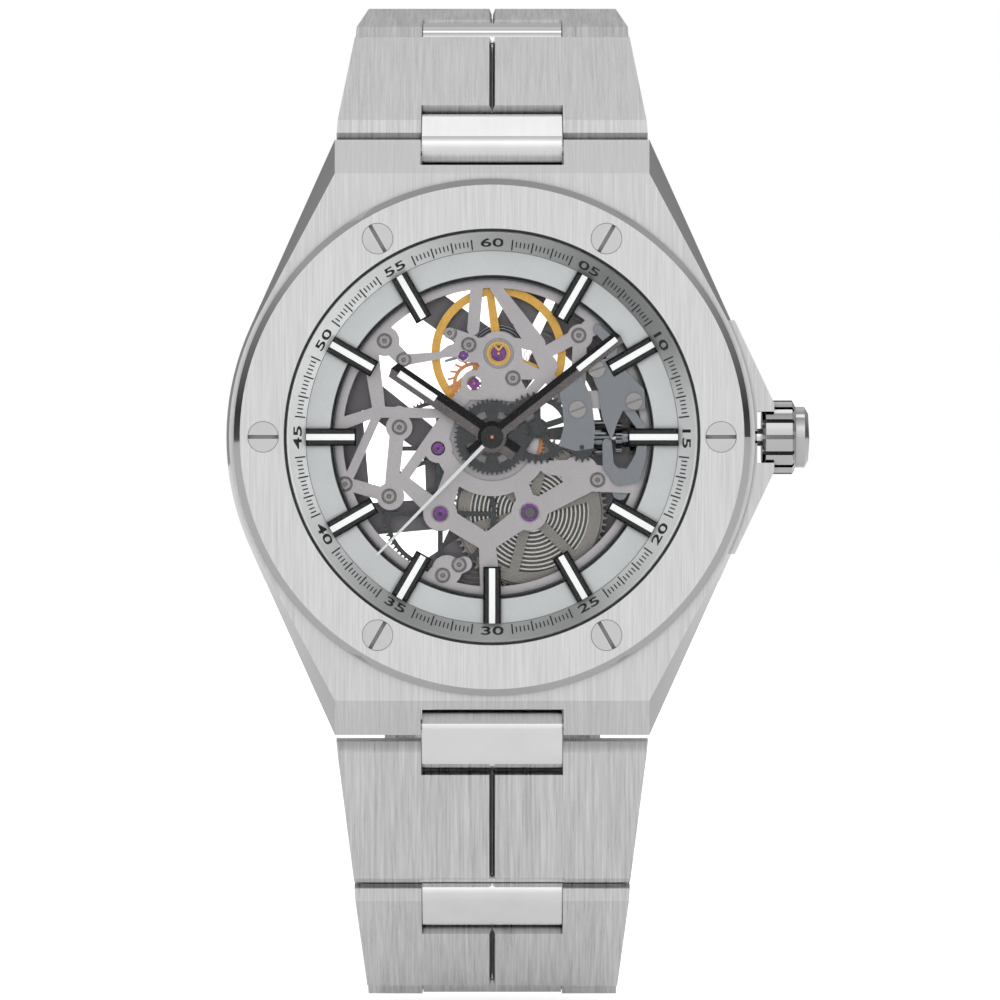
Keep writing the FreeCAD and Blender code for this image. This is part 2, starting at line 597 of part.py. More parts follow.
def train_bridge():
    screws = bridge_screw_points()
    return bridge([(screws[4], GREAT, 2.6, 2.4), (GREAT, THIRD, 2.2, 2.2), (THIRD, screws[5], 2.2, 2.6),
                   (THIRD, CENTRE, 2.2, 2.8), (screws[4], screws[5], 1.8, 1.8)],
                  [(GREAT, 1.4), (THIRD, 1.3), (CENTRE, 1.6)],
                  [(GREAT, 0.62), (THIRD, 0.62), (CENTRE, 0.62)])


def barrel_bridge():
    screws = bridge_screw_points()
    upper = (9.3, 2.4)
    return bridge([(screws[2], BARREL, 2.8, 3.0), (screws[3], BARREL, 2.6, 3.0),
                   (BARREL, CROWN_WHEEL, 3.0, 2.6),
                   (CROWN_WHEEL, (11.9, -2.6), 2.4, 2.4), (CROWN_WHEEL, screws[2], 2.0, 2.4)],
                  [(BARREL, 2.0), (CROWN_WHEEL, 1.3), (CLICK, 1.0)],
                  [(BARREL, 0.92), (CLICK, 0.3)])


def balance_cock():
    screws = bridge_screw_points()
    return bridge([(screws[0], BALANCE, 2.8, 2.6), (screws[6], BALANCE, 2.6, 2.6)],
                  [(BALANCE, 1.7)], [(BALANCE, 0.9)])


def jewels():
    """Pierced rubies pressed into the plate and the bridges, and the balance's dial-side setting."""
    stones = []
    for point, outer, bore in ((GREAT, 0.6, 0.14), (BARREL, 0.7, 0.45), (THIRD, 0.45, 0.13),
                               (ESCAPE, 0.45, 0.13), (PALLET, 0.4, 0.12)):
        stones.append(ring(point, outer, bore, PLATE_BOTTOM + 0.1, PLATE_TOP - 0.1))
        if point in (GREAT, THIRD):
            stones.append(ring(point, 0.6, bore, BRIDGE_BOTTOM + 0.1, BRIDGE_TOP))
    stones.append(ring(BALANCE, 0.62, 0.13, PLATE_BOTTOM + 0.1, PLATE_TOP - 0.15))
    stones.append(ring(BALANCE, 0.88, 0.13, BRIDGE_BOTTOM + 0.2, BRIDGE_TOP))
    stones.append(ring(CENTRE, 0.6, 0.17, BRIDGE_BOTTOM + 0.1, BRIDGE_TOP))
    return stones


def jewel_settings():
    """Brass rings that hold the larger jewels in the plate, and the lyre spring of the balance."""
    rings = [ring(GREAT, 0.71, 0.61, PLATE_BOTTOM + 0.1, PLATE_TOP),
             ring(BARREL, 0.81, 0.71, PLATE_BOTTOM + 0.1, PLATE_TOP),
             ring(BALANCE, 1.2, 0.64, PLATE_BOTTOM + 0.1, PLATE_TOP)]
    lyre = ring(BALANCE, 0.95, 0.78, PLATE_TOP, PLATE_TOP + 0.1)
    gap = sector(BALANCE, 2, 0.1, 250, 290, PLATE_TOP - 1, PLATE_TOP + 1)
    legs = [arm(polar(0.85, angle, BALANCE), polar(0.25, angle + turn, BALANCE), 0.15, 0.15, PLATE_TOP,
                PLATE_TOP + 0.1)
            for angle, turn in ((60, 30), (120, -30))]
    return rings[:2] + [fuse([rings[2], lyre.cut(gap)] + legs)]


def keyless_cover():
    """Cover plates of the setting works: two, either side of a curved gap, each on a leg of its own."""
    z0, z1 = COVER_TOP - 0.26, COVER_TOP
    left = slab([(5.2, 4.1), (6.3, 5.2), (7.1, 4.9), (7.65, 3.7), (8.05, 2.0), (8.2, 0.5), (8.05, -0.9),
                 (6.6, -1.1), (5.3, -0.7), (5.7, 0.8), (5.6, 2.4)], z0, z1)
    right = slab([(7.5, 6.2), (10.0, 6.2), (10.6, 5.3), (12.1, 3.8), (12.2, 2.2), (10.4, 2.1), (9.9, 1.0),
                  (9.5, -0.3), (8.75, 1.6), (8.5, 3.6), (7.9, 5.0)], z0, z1)
    plates = []
    for plate, (x, y) in ((left, LEFT_COVER_LEG), (right, RIGHT_COVER_LEG)):
        standing = fuse([plate, disc((x, y), 0.6, PLATE_TOP, z1)])
        plates.append(cut(standing, [disc(point, 0.33, 0, 9) for point in keyless_screw_points()]))
    plates[0] = plates[0].cut(disc(SETTING, 0.2, 0, 9))
    return plates


def keyless_screw_points():
    return (LEFT_COVER_LEG, (8.3, 5.4), RIGHT_COVER_LEG)


def setting_lever():
    """Lever that follows the stem's groove when the crown is pulled."""
    lever = arm((10.2, -4.4), (11.5, -2.0), 1.2, 0.8, 5.0, 5.3)
    finger = arm((11.5, -2.0), (11.92, -0.66), 0.8, 0.34, 5.0, 5.3)
    pin = disc((11.92, -0.66), 0.15, 4.1, 5.3)
    return [fuse([lever, finger, pin])]


def keyless_plates():
    """The two cover plates, and beneath them the spring plate that runs beside the clutch."""
    return keyless_cover() + [yoke_plate()]


def yoke_plate():
    """Spring plate that hooks round below the clutch, under the covers."""
    z0, z1 = PLATE_TOP + 0.02, PLATE_TOP + 0.26
    path = [(9.15, -0.5), (9.25, -2.3), (10.1, -3.3), (11.2, -3.0), (11.8, -1.6), (12.1, 0.4)]
    widths = (0.75, 0.9, 1.1, 1.3, 0.9, 0.6)
    shape = fuse([arm(path[k], path[k + 1], widths[k], widths[k + 1], z0, z1) for k in range(5)]
                 + [arm((8.4, 8.6), (9.6, 7.4), 0.7, 0.8, z0, z1),
                    arm((9.6, 7.4), (9.4, 5.6), 0.8, 0.8, z0, z1),
                    arm((9.4, 5.6), (10.6, 2.6), 0.8, 0.8, z0, z1),
                    arm((10.6, 2.6), (12.1, 0.4), 0.8, 0.6, z0, z1)])
    shape = shape.common(disc(CENTRE, 12.75, 0, 9))
    clear = [disc(RIGHT_COVER_LEG, 0.72, 0, 9), disc((8.3, 5.4), 0.4, 0, 9)]
    clear += [disc(point, SCREW_HEAD + 0.1, 0, 9) for point in plate_screw_points()]
    return cut(shape, clear)


# ---------------------------------------------------------------- going train
BARREL_MODULE = module_of(BARREL, GREAT, BARREL_TEETH, GREAT_PINION)
GREAT_MODULE = module_of(GREAT, THIRD, GREAT_TEETH, THIRD_PINION)
THIRD_MODULE = module_of(THIRD, CENTRE, THIRD_TEETH, SECONDS_PINION)
SECONDS_MODULE = module_of(CENTRE, ESCAPE, SECONDS_TEETH, ESCAPE_PINION)
MOTION_MODULE = module_of(CENTRE, MINUTE, CANNON_TEETH, MINUTE_TEETH)
HOUR_MODULE = module_of(CENTRE, MINUTE, MINUTE_PINION, HOUR_TEETH)
WINDING_MODULE = module_of(CROWN_WHEEL, BARREL, CROWN_WHEEL_TEETH, RATCHET_TEETH)


def driver_angle(a, b):
    """A driving wheel has a tooth on the line of centres."""
    return bearing(a, b)


def driven_angle(a, b, teeth_b):
    """The driven wheel has a gap on the line of centres."""
    return bearing(b, a) + 180 / teeth_b


# the setting wheel stands where a tooth of the minute wheel points at it
SETTING_LINE = driven_angle(CENTRE, MINUTE, MINUTE_TEETH) - 220
SETTING = polar(MOTION_MODULE * (MINUTE_TEETH + SETTING_TEETH) / 2, SETTING_LINE, MINUTE)


def barrel():
    """Toothed drum with an open six-arm cover towards the dial."""
    bottom, top, radius, skin = DRUM_BOTTOM, DRUM_TOP, DRUM_RADIUS, 0.08
    teeth = toothed(BARREL, BARREL_TEETH, BARREL_MODULE, bottom, bottom + 0.2, driver_angle(BARREL, GREAT))
    wall = ring(BARREL, radius, radius - 0.42, bottom, top)
    floor = disc(BARREL, radius, bottom, bottom + skin)
    cover = spoked(BARREL, disc(BARREL, radius, top - skin, top), radius, 1.25, 6, 0.8, top - skin, top,
                   rim=0.95, start=15)
    return [fuse([teeth, wall, floor, cover]).cut(disc(BARREL, 0.95, 0, 9))]


def mainspring():
    """Coiled ribbon inside the drum."""
    return [spiral(BARREL, 1.25, 5.05, 0.34, 0.13, 4.15, 4.33)]


def spiral(centre, inner, outer, pitch, thickness, z0, z1):
    """Flat spiral ribbon made of half circles, each wider than the last by half a pitch."""
    turns = int((outer - inner) / pitch)
    def half_circles(shift):
        edges = []
        for index in range(2 * turns):
            radius = inner + shift + index * pitch / 2
            side = 1 if index % 2 == 0 else -1
            x = centre[0] + (0 if side > 0 else pitch / 2)
            edges.append(Part.Arc(vec(x + side * radius, centre[1], z0),
                                  vec(x, centre[1] + side * radius, z0),
                                  vec(x - side * radius, centre[1], z0)).toShape())
        return edges
    inside, outside = half_circles(0.0), half_circles(thickness)
    start = Part.makeLine(vec(centre[0] + inner, centre[1], z0),
                          vec(centre[0] + inner + thickness, centre[1], z0))
    reach = centre[0] + inner + turns * pitch
    end = Part.makeLine(vec(reach, centre[1], z0), vec(reach + thickness, centre[1], z0))
    wire = Part.Wire(Part.__sortEdges__(inside + outside + [start, end]))
    return Part.Face(wire).extrude(vec(0, 0, z1 - z0))


def ratchet_wheel():
    """Ratchet wheel on the square of the barrel's arbor."""
    arbor_solid = fuse([disc(BARREL, 0.85, 2.9, 5.5), disc(BARREL, 0.42, 2.4, 6.25)])
    wheel = toothed(BARREL, RATCHET_TEETH, WINDING_MODULE, WINDING_BOTTOM, WINDING_TOP,
                    driven_angle(CROWN_WHEEL, BARREL, RATCHET_TEETH))
    return [wheel.cut(disc(BARREL, 0.43, 0, 9)), arbor_solid]


def crown_wheel():
    wheel = toothed(CROWN_WHEEL, CROWN_WHEEL_TEETH, WINDING_MODULE, WINDING_BOTTOM, WINDING_TOP - 0.03,
                    driver_angle(CROWN_WHEEL, BARREL))
    return [wheel.cut(disc(CROWN_WHEEL, 0.7, 0, 9))]


def click():
    """Pawl whose beak rests in the ratchet wheel."""
    angle = bearing(CLICK, BARREL)
    reach = math.dist(CLICK, BARREL) - (WINDING_MODULE * RATCHET_TEETH / 2 + 0.75 * WINDING_MODULE) - 0.03
    beak = polar(reach, angle, CLICK)
    tail = polar(1.3, angle + 130, CLICK)
    return [fuse([arm(CLICK, beak, 1.1, 0.12, 2.5, 2.8), arm(CLICK, tail, 1.0, 0.4, 2.5, 2.8),
                  disc(CLICK, 0.26, 2.5, 3.5)])]


def great_wheel():
    z0, z1 = GREAT_BOTTOM, GREAT_TOP
    wheel = toothed(GREAT, GREAT_TEETH, GREAT_MODULE, z0, z1, driver_angle(GREAT, THIRD))
    wheel = spoked(GREAT, wheel, GREAT_MODULE * GREAT_TEETH / 2 - 0.14, 0.7, 4, 0.4, z0, z1)
    pinion = toothed(GREAT, GREAT_PINION, BARREL_MODULE, DRUM_BOTTOM - 0.04, z0,
                     driven_angle(BARREL, GREAT, GREAT_PINION))
    return [fuse([wheel, pinion, arbor(GREAT, LOWER_PIVOT, UPPER_PIVOT, 0.22, 0.1, 0.75)])]


def third_wheel():
    z0, z1 = THIRD_BOTTOM, THIRD_TOP
    wheel = toothed(THIRD, THIRD_TEETH, THIRD_MODULE, z0, z1, driver_angle(THIRD, CENTRE))
    wheel = spoked(THIRD, wheel, THIRD_MODULE * THIRD_TEETH / 2 - 0.11, 0.5, 4, 0.35, z0, z1, rim=0.3)
    pinion = toothed(THIRD, THIRD_PINION, GREAT_MODULE, GREAT_BOTTOM - 0.04, z0,
                     driven_angle(GREAT, THIRD, THIRD_PINION))
    return [fuse([wheel, pinion, disc(THIRD, 0.1, LOWER_PIVOT, UPPER_PIVOT)])]


def seconds_wheel():
    z0, z1 = SECONDS_BOTTOM, SECONDS_TOP
    wheel = toothed(CENTRE, SECONDS_TEETH, SECONDS_MODULE, z0, z1, driver_angle(CENTRE, ESCAPE))
    wheel = spoked(CENTRE, wheel, SECONDS_MODULE * SECONDS_TEETH / 2 - 0.12, 0.5, 4, 0.35, z0, z1, rim=0.3)
    pinion = toothed(CENTRE, SECONDS_PINION, THIRD_MODULE, z1, THIRD_TOP + 0.08,
                     driven_angle(THIRD, CENTRE, SECONDS_PINION))
    return [fuse([wheel, pinion, disc(CENTRE, 0.13, 3.0, 8.2)])]


def escape_wheel():
    """Club-toothed wheel: twenty hooked teeth on a thin rim."""
    root, tip = 1.7, 2.2
    points = []
    for index in range(ESCAPE_TEETH):
        start = index * 360 / ESCAPE_TEETH
        for radius, share in ((root, 0.0), (tip, 0.42), (tip - 0.12, 0.62), (root, 0.36)):
            points.append(polar(radius, start + share * 360 / ESCAPE_TEETH, ESCAPE))
    z0, z1 = ESCAPE_BOTTOM, ESCAPE_TOP
    wheel = spoked(ESCAPE, slab(points, z0, z1), root, 0.35, 4, 0.25, z0, z1, rim=0.28)
    pinion = toothed(ESCAPE, ESCAPE_PINION, SECONDS_MODULE, SECONDS_BOTTOM - 0.05, z0,
                     driven_angle(CENTRE, ESCAPE, ESCAPE_PINION))
    return [fuse([wheel, pinion, disc(ESCAPE, 0.1, SECONDS_BOTTOM - 0.07, UPPER_PIVOT)])]


def pallet_fork():
    """Lever with two arms towards the escape wheel and a forked tail."""
    z0, z1 = ESCAPE_BOTTOM, ESCAPE_TOP
    towards = bearing(PALLET, BALANCE)
    tail = polar(1.75, towards, PALLET)
    prongs = [arm(tail, polar(2.15, towards + turn, PALLET), 0.22, 0.12, z0, z1) for turn in (9, -9)]
    inward = bearing(PALLET, ESCAPE)
    arms = [arm(PALLET, polar(1.45, inward + turn, PALLET), 0.3, 0.2, z0, z1) for turn in (95, -95)]
    staff = disc(PALLET, 0.09, 4.6, UPPER_PIVOT)
    return [fuse([arm(PALLET, tail, 0.36, 0.22, z0, z1), staff] + prongs + arms)]


def balance_wheel():
    """Three-spoke balance with its staff and the roller that works the fork."""
    rim = ring(BALANCE, BALANCE_RADIUS, BALANCE_RADIUS - 0.66, BALANCE_BOTTOM, BALANCE_TOP)
    spokes = [arm(BALANCE, polar(4.9, angle, BALANCE), 0.75, 0.6, BALANCE_BOTTOM + 0.1, BALANCE_TOP - 0.12)
              for angle in (98, 218, 338)]
    staff = fuse([disc(BALANCE, 0.22, 3.9, 5.3), disc(BALANCE, 0.1, 3.1, 6.1),
                  disc(BALANCE, 0.5, 4.05, 4.35)])
    roller = disc(BALANCE, 0.42, 4.6, 4.72)
    return [fuse([rim, staff, roller] + spokes)]


def hairspring():
    return [spiral(BALANCE, 0.7, 2.6, 0.22, 0.06, 3.75, 3.87)]


# ---------------------------------------------------------------- motion works
def cannon_pinion():
    pinion = toothed(CENTRE, CANNON_TEETH, MOTION_MODULE, 6.34, 6.52, driver_angle(CENTRE, MINUTE))
    return [fuse([pinion, disc(CENTRE, 0.48, 5.6, 7.93)]).cut(disc(CENTRE, 0.2, 0, 9))]


def minute_wheel():
    z0, z1 = MOTION_BOTTOM, MOTION_BOTTOM + 0.13
    wheel = toothed(MINUTE, MINUTE_TEETH, MOTION_MODULE, z0, z1,
                    driven_angle(CENTRE, MINUTE, MINUTE_TEETH))
    wheel = spoked(MINUTE, wheel, MOTION_MODULE * MINUTE_TEETH / 2 - 0.17, 0.8, 5, 0.5, z0, z1, rim=0.5)
    pinion = toothed(MINUTE, MINUTE_PINION, HOUR_MODULE, z1, HOUR_TOP + 0.04, driver_angle(MINUTE, CENTRE))
    return [fuse([wheel, pinion, disc(MINUTE, 0.27, 5.6, 6.5)])]


def hour_wheel():
    wheel = toothed(CENTRE, HOUR_TEETH, HOUR_MODULE, HOUR_BOTTOM, HOUR_TOP,
                    driven_angle(MINUTE, CENTRE, HOUR_TEETH))
    slots = [sector(CENTRE, 2.15, 1.6, 15 + 90 * index, 75 + 90 * index, 6, 7) for index in range(4)]
    tube = ring(CENTRE, 0.78, 0.52, HOUR_BOTTOM, 7.65)
    return [fuse([cut(wheel, slots + [disc(CENTRE, 0.52, 0, 9)]), tube])]


def setting_wheel():
    wheel = toothed(SETTING, SETTING_TEETH, MOTION_MODULE, MOTION_BOTTOM, MOTION_BOTTOM + 0.15,
                    driven_angle(MINUTE, SETTING, SETTING_TEETH))
    return [fuse([wheel, disc(SETTING, 0.18, MOTION_BOTTOM, MOTION_BOTTOM + 0.5)])]


# ---------------------------------------------------------------- automatic winding
def rotor():
    """Half-round winding weight with three windows and a heavy rim, resting under the barrel's side."""
    bottom, start = ROTOR_BOTTOM, ROTOR_START
    web = sector(CENTRE, ROTOR_RADIUS, 1.2, start, start + 180, bottom, bottom + 0.3)
    weight = sector(CENTRE, ROTOR_RADIUS, 9.6, start + 1, start + 179, bottom, bottom + 0.76)
    windows = [sector(CENTRE, 8.8, 3.6, start + turn, start + turn + 46, 1, 3) for turn in (10, 67, 124)]
    hub = disc(CENTRE, 2.2, bottom, bottom + 0.5)
    return [fuse([cut(web, windows), weight, hub]).cut(disc(CENTRE, 0.95, 0, 3))]


def rotor_bearing():
    """Ball race screwed to the train bridge: the rotor turns on it."""
    return [fuse([disc(CENTRE, 0.9, 1.5, 2.88), disc(CENTRE, 1.5, 1.42, 1.56), disc(CENTRE, 1.5, 2.6, 2.88)])]


# ---------------------------------------------------------------- bracelet
def hinge_points(side, tilts):
    """Hinges of one bracelet half, from the case outwards, as (y, z)."""
    y, z = side * HINGE_Y, HINGE_Z
    points = [(y, z)]
    for index, tilt in enumerate(tilts):
        length = LINK_PITCH + (FIRST_REACH if index == 0 else 0)
        y += side * length * math.cos(math.radians(tilt))
        z -= length * math.sin(math.radians(tilt))
        points.append((y, z))
    return points


def profile_prism(points, x0, x1):
    """Side-view outline (along, up) swept across the bracelet."""
    corners = [vec(x0, along, up) for along, up in points]
    return Part.Face(Part.makePolygon(corners + [corners[0]])).extrude(vec(x1 - x0, 0, 0))


def place_link(shape, side, start, tilt):
    """Moves a link drawn along +y from the origin to its hinge, sloping down by tilt."""
    if side < 0:
        shape = shape.mirror(vec(0, 0, 0), vec(0, 1, 0))
    shape.rotate(vec(0, 0, 0), vec(1, 0, 0), -side * tilt)
    shape.translate(vec(0, start[0], start[1]))
    return shape


def link_shapes(index, last, holds_clasp):
    """Brushed wide link, its polished centre connector and its hinge pins, drawn along +y from the hinge."""
    lead = FIRST_REACH if index == 0 else 0.0
    near, far = lead + SLIT, lead + LINK_PITCH - SLIT
    top, under = LINK_HALF_THICK, -LINK_HALF_THICK
    near_under = near + (2.1 if index == 0 else 0.85)
    outline = [(near, -0.1), (near, 0.9), (near + 0.75, top), (far - 0.45, top), (far, 1.15), (far, -0.1),
               (far - 0.85, under), (near_under, under)]
    half0, half1 = LINK_WIDTHS[index], LINK_WIDTHS[index + 1]
    if index == 0:
        half0 = half0 - 0.05
    body = profile_prism(outline, -14, 14)
    trim = slab([(-half0, near), (half0, near), (half1, far), (-half1, far)], -3, 3)
    body = body.common(trim)
    centre_start = CONNECTOR_LENGTH + 0.1 + (0 if index else -1.15)
    opening = block(-CONNECTOR_HALF_WIDTH - 0.07, CONNECTOR_HALF_WIDTH + 0.07, -3, centre_start, -3, 3)
    tongue_depth = 1.5 if last else 0.45
    tongue_gap = block(-CONNECTOR_HALF_WIDTH - 0.15, CONNECTOR_HALF_WIDTH + 0.15, far - tongue_depth,
                       far + 3, -3, 3)
    body = cut(body, [opening, tongue_gap, profile_groove(centre_start, far),
                      pin_bar(lead + LINK_PITCH, 15, 0.42),
                      pin_bar(0, 15, 0.42)])
    connector = rounded_connector(-1.2 if index == 0 else 0.0, centre_start - 0.1).cut(pin_bar(0, 15, 0.42))
    if index == 0:
        return body, [connector]
    fittings = [connector, pin_bar(0, half0 - 0.6, PIN_RADIUS)]
    if last and holds_clasp:
        fittings.append(pin_bar(LINK_PITCH, half1 - 0.6, PIN_RADIUS))
    return body, fittings


def pin_bar(along, half_length, radius):
    """Hinge pin, or the hole for one, across the bracelet."""
    return Part.makeCylinder(radius, 2 * half_length, vec(-half_length, along, 0), vec(1, 0, 0))


def profile_groove(start, end):
    """V-groove between the two centre blocks."""
    points = [vec(-0.28, start - 1, 1.7), vec(0.28, start - 1, 1.7), vec(0, start - 1, 1.0)]
    groove = Part.Face(Part.makePolygon(points + [points[0]])).extrude(vec(0, end - start + 3, 0))
    saw_cut = block(-0.05, 0.05, start - 1, end + 1, 0.4, 1.8)
    return fuse([groove, saw_cut])


def rounded_connector(start, end):
    """Polished bar with a full round at each end."""
    radius = 1.2
    width = CONNECTOR_HALF_WIDTH
    y0, y1 = start + radius, end - radius
    edges = [Part.makeLine(vec(-width, y0, radius + 0.3), vec(-width, y1, radius + 0.3)),
             Part.Arc(vec(-width, y1, radius + 0.3), vec(-width, end, 0),
                      vec(-width, y1, -radius - 0.1)).toShape(),
             Part.makeLine(vec(-width, y1, -radius - 0.1), vec(-width, y0, -radius - 0.1)),
             Part.Arc(vec(-width, y0, -radius - 0.1), vec(-width, start, 0),
                      vec(-width, y0, radius + 0.3)).toShape()]
    return Part.Face(Part.Wire(edges)).extrude(vec(2 * width, 0, 0))


def bracelet_half(name, side, tilts):
    points = hinge_points(side, tilts)
    for index, tilt in enumerate(tilts):
        link, fittings = link_shapes(index, index == len(tilts) - 1, side > 0)
        label = name + "_" + str(index + 1)
        link = place_link(link, side, points[index], tilt)
        fittings = [place_link(fitting, side, points[index], tilt) for fitting in fittings]
        if index < SEPARATE_CONNECTORS:
            export("link_" + label, [link] + fittings[1:])
            export("connector_" + label, fittings[:1])
        else:
            export("link_" + label, [link] + fittings)
    return points


# ---------------------------------------------------------------- clasp
def clasp_frame(upper_end, lower_end):
    """Directions of the clasp's own frame: along from the upper end to the lower end, and outwards."""
    dy, dz = lower_end[0] - upper_end[0], lower_end[1] - upper_end[1]
    length = math.hypot(dy, dz)
    along = (dy / length, dz / length)
    outward = (along[1], -along[0])
    if outward[1] > 0:
        outward = (-outward[0], -outward[1])
    return length, along, outward


def clasp_point(upper_end, lower_end, station, offset):
    """The (y, z) of a station along the clasp, a given height outside its pitch circle."""
    length, along, outward = clasp_frame(upper_end, lower_end)
    radius = (length * length / 4 + CLASP_SAG * CLASP_SAG) / (2 * CLASP_SAG)
    angle = math.asin((station - length / 2) / radius)
    a = length / 2 + (radius + offset) * math.sin(angle)
    o = CLASP_SAG - radius + (radius + offset) * math.cos(angle)
    return (upper_end[0] + along[0] * a + outward[0] * o, upper_end[1] + along[1] * a + outward[1] * o)


def bowed_plate(upper_end, lower_end, start, end, level, thickness, half_width):
    """Arched plate between two stations along the clasp, following one circle."""
    def at(station, offset):
        return vec(-half_width, *clasp_point(upper_end, lower_end, station, offset))
    middle = (start + end) / 2
    low, high = level, level + thickness
    edges = [Part.Arc(at(start, low), at(middle, low), at(end, low)).toShape(),
             Part.makeLine(at(end, low), at(end, high)),
             Part.Arc(at(end, high), at(middle, high), at(start, high)).toShape(),
             Part.makeLine(at(start, high), at(start, low))]
    return Part.Face(Part.Wire(edges)).extrude(vec(2 * half_width, 0, 0))


def cross_bar(point, half_length, radius):
    """Cylinder across the clasp at a (y, z) point."""
    return Part.makeCylinder(radius, 2 * half_length, vec(-half_length, point[0], point[1]), vec(1, 0, 0))


def clasp(upper_end, lower_end):
    """Folding clasp: a cover with side walls, and two blades folded inside it."""
    length = clasp_frame(upper_end, lower_end)[0]
    def plate(start, end, level, thickness, half_width):
        return bowed_plate(upper_end, lower_end, start, end, level, thickness, half_width)
    far_hinge = clasp_hinge(upper_end, lower_end, length - FAR_HINGE_INSET, LONG_BLADE_LEVEL)
    near_hinge = clasp_hinge(upper_end, lower_end, NEAR_HINGE_INSET, SHORT_BLADE_LEVEL)
    roof = plate(1.9, length - 1.9, 1.15, 0.8, CLASP_HALF_WIDTH)
    walls = plate(1.9, length - 1.9, -1.4, 2.6, CLASP_HALF_WIDTH)
    hollow = plate(0.5, length - 0.5, -2.4, 3.6, CLASP_HALF_WIDTH - 0.9)
    tongue = fuse([cross_bar(upper_end, EYE_HALF_LENGTH, EYE_RADIUS),
                   plate(0.6, 2.4, 0.1, 1.5, EYE_HALF_LENGTH)])
    tongue = tongue.cut(cross_bar(upper_end, 9, PIN_RADIUS + 0.07))
    cover = fuse([roof, walls.cut(hollow), tongue, cross_bar(far_hinge, CLASP_HALF_WIDTH - 0.3, PIN_RADIUS)])

    near, far = NEAR_HINGE_INSET, length - FAR_HINGE_INSET
    long_blade = fuse([plate(near + 1.2, far - 0.3, LONG_BLADE_LEVEL, BLADE_THICKNESS, BLADE_HALF_WIDTH),
                       cross_bar(far_hinge, BLADE_HALF_WIDTH, 0.75),
                       plate(near, near + 2, LONG_BLADE_LEVEL - 0.3, 1.0, 3.9),
                       cross_bar(near_hinge, 3.9, 0.7)])
    holes = [cross_bar(far_hinge, 10, PIN_RADIUS + 0.06), cross_bar(near_hinge, 10, BLADE_PIN_RADIUS + 0.06)]
    long_blade = cut(long_blade, holes)

    # the short blade's two lugs stand either side of the long blade's tongue, and its eye lies in the
    # fork of the last lower link
    short_blade = plate(near - 0.4, far - 1.6, SHORT_BLADE_LEVEL, BLADE_THICKNESS, BLADE_HALF_WIDTH)
    short_blade = short_blade.cut(plate(near - 1, near + 1.2, SHORT_BLADE_LEVEL - 1, 3, 4.05))
    neck = plate(far - 2.0, length - 0.1, SHORT_BLADE_LEVEL, BLADE_THICKNESS, EYE_HALF_LENGTH)
    eye = cross_bar(lower_end, EYE_HALF_LENGTH, EYE_RADIUS)
    near_pin = cross_bar(near_hinge, BLADE_HALF_WIDTH - 0.1, BLADE_PIN_RADIUS)
    short_blade = fuse([short_blade, neck, eye, near_pin])
    short_blade = short_blade.cut(cross_bar(lower_end, 9, PIN_RADIUS + 0.07))
    return cover, long_blade, short_blade


def clasp_hinge(upper_end, lower_end, station, level):
    """Middle of a blade's thickness at a station along the clasp."""
    return clasp_point(upper_end, lower_end, station, level + BLADE_THICKNESS / 2)


# ---------------------------------------------------------------- build
NODES = [case_body, bracelet_pins, bezel, bezel_screws, crystal, caseback_ring, caseback_glass, gaskets,
         crown, winding_stem, sliding_clutch, winding_pinion, dial_ring, minute_track, hour_markers,
         hour_hand, minute_hand, seconds_hand, main_plate, movement_screws, train_bridge, barrel_bridge,
         balance_cock, jewels, jewel_settings, keyless_plates, setting_lever, barrel, mainspring,
         ratchet_wheel, crown_wheel, click, great_wheel, third_wheel, seconds_wheel, escape_wheel,
         pallet_fork, balance_wheel, hairspring, cannon_pinion, minute_wheel, hour_wheel, setting_wheel,
         rotor, rotor_bearing]


def main():
    os.makedirs("parts", exist_ok=True)
    for make in NODES:
        export(make.__name__, make())
    upper = bracelet_half("upper", 1, UPPER_TILTS)
    lower = bracelet_half("lower", -1, LOWER_TILTS)
    cover, long_blade, short_blade = clasp(upper[-1], lower[-1])
    export("clasp_cover", [cover])
    export("clasp_long_blade", [long_blade])
    export("clasp_short_blade", [short_blade])


main()
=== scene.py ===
import math

import bmesh
import bpy
from mathutils import Matrix, Vector


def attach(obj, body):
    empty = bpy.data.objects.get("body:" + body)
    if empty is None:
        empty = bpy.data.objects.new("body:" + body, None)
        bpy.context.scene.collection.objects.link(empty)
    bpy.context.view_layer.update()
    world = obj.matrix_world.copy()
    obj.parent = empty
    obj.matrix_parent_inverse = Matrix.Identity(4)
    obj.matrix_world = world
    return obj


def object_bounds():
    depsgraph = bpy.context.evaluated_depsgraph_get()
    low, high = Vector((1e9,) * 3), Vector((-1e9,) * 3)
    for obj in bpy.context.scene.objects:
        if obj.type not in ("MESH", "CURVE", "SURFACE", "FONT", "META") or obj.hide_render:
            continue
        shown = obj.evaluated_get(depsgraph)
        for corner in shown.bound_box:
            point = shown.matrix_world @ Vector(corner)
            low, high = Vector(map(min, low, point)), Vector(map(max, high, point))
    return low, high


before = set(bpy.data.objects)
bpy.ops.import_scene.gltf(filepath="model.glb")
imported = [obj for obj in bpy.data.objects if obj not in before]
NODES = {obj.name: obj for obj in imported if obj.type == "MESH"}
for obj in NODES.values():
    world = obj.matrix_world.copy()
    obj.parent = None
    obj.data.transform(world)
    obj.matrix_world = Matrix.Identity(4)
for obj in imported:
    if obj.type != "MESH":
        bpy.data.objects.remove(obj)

cad_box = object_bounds()
MM = 0.001

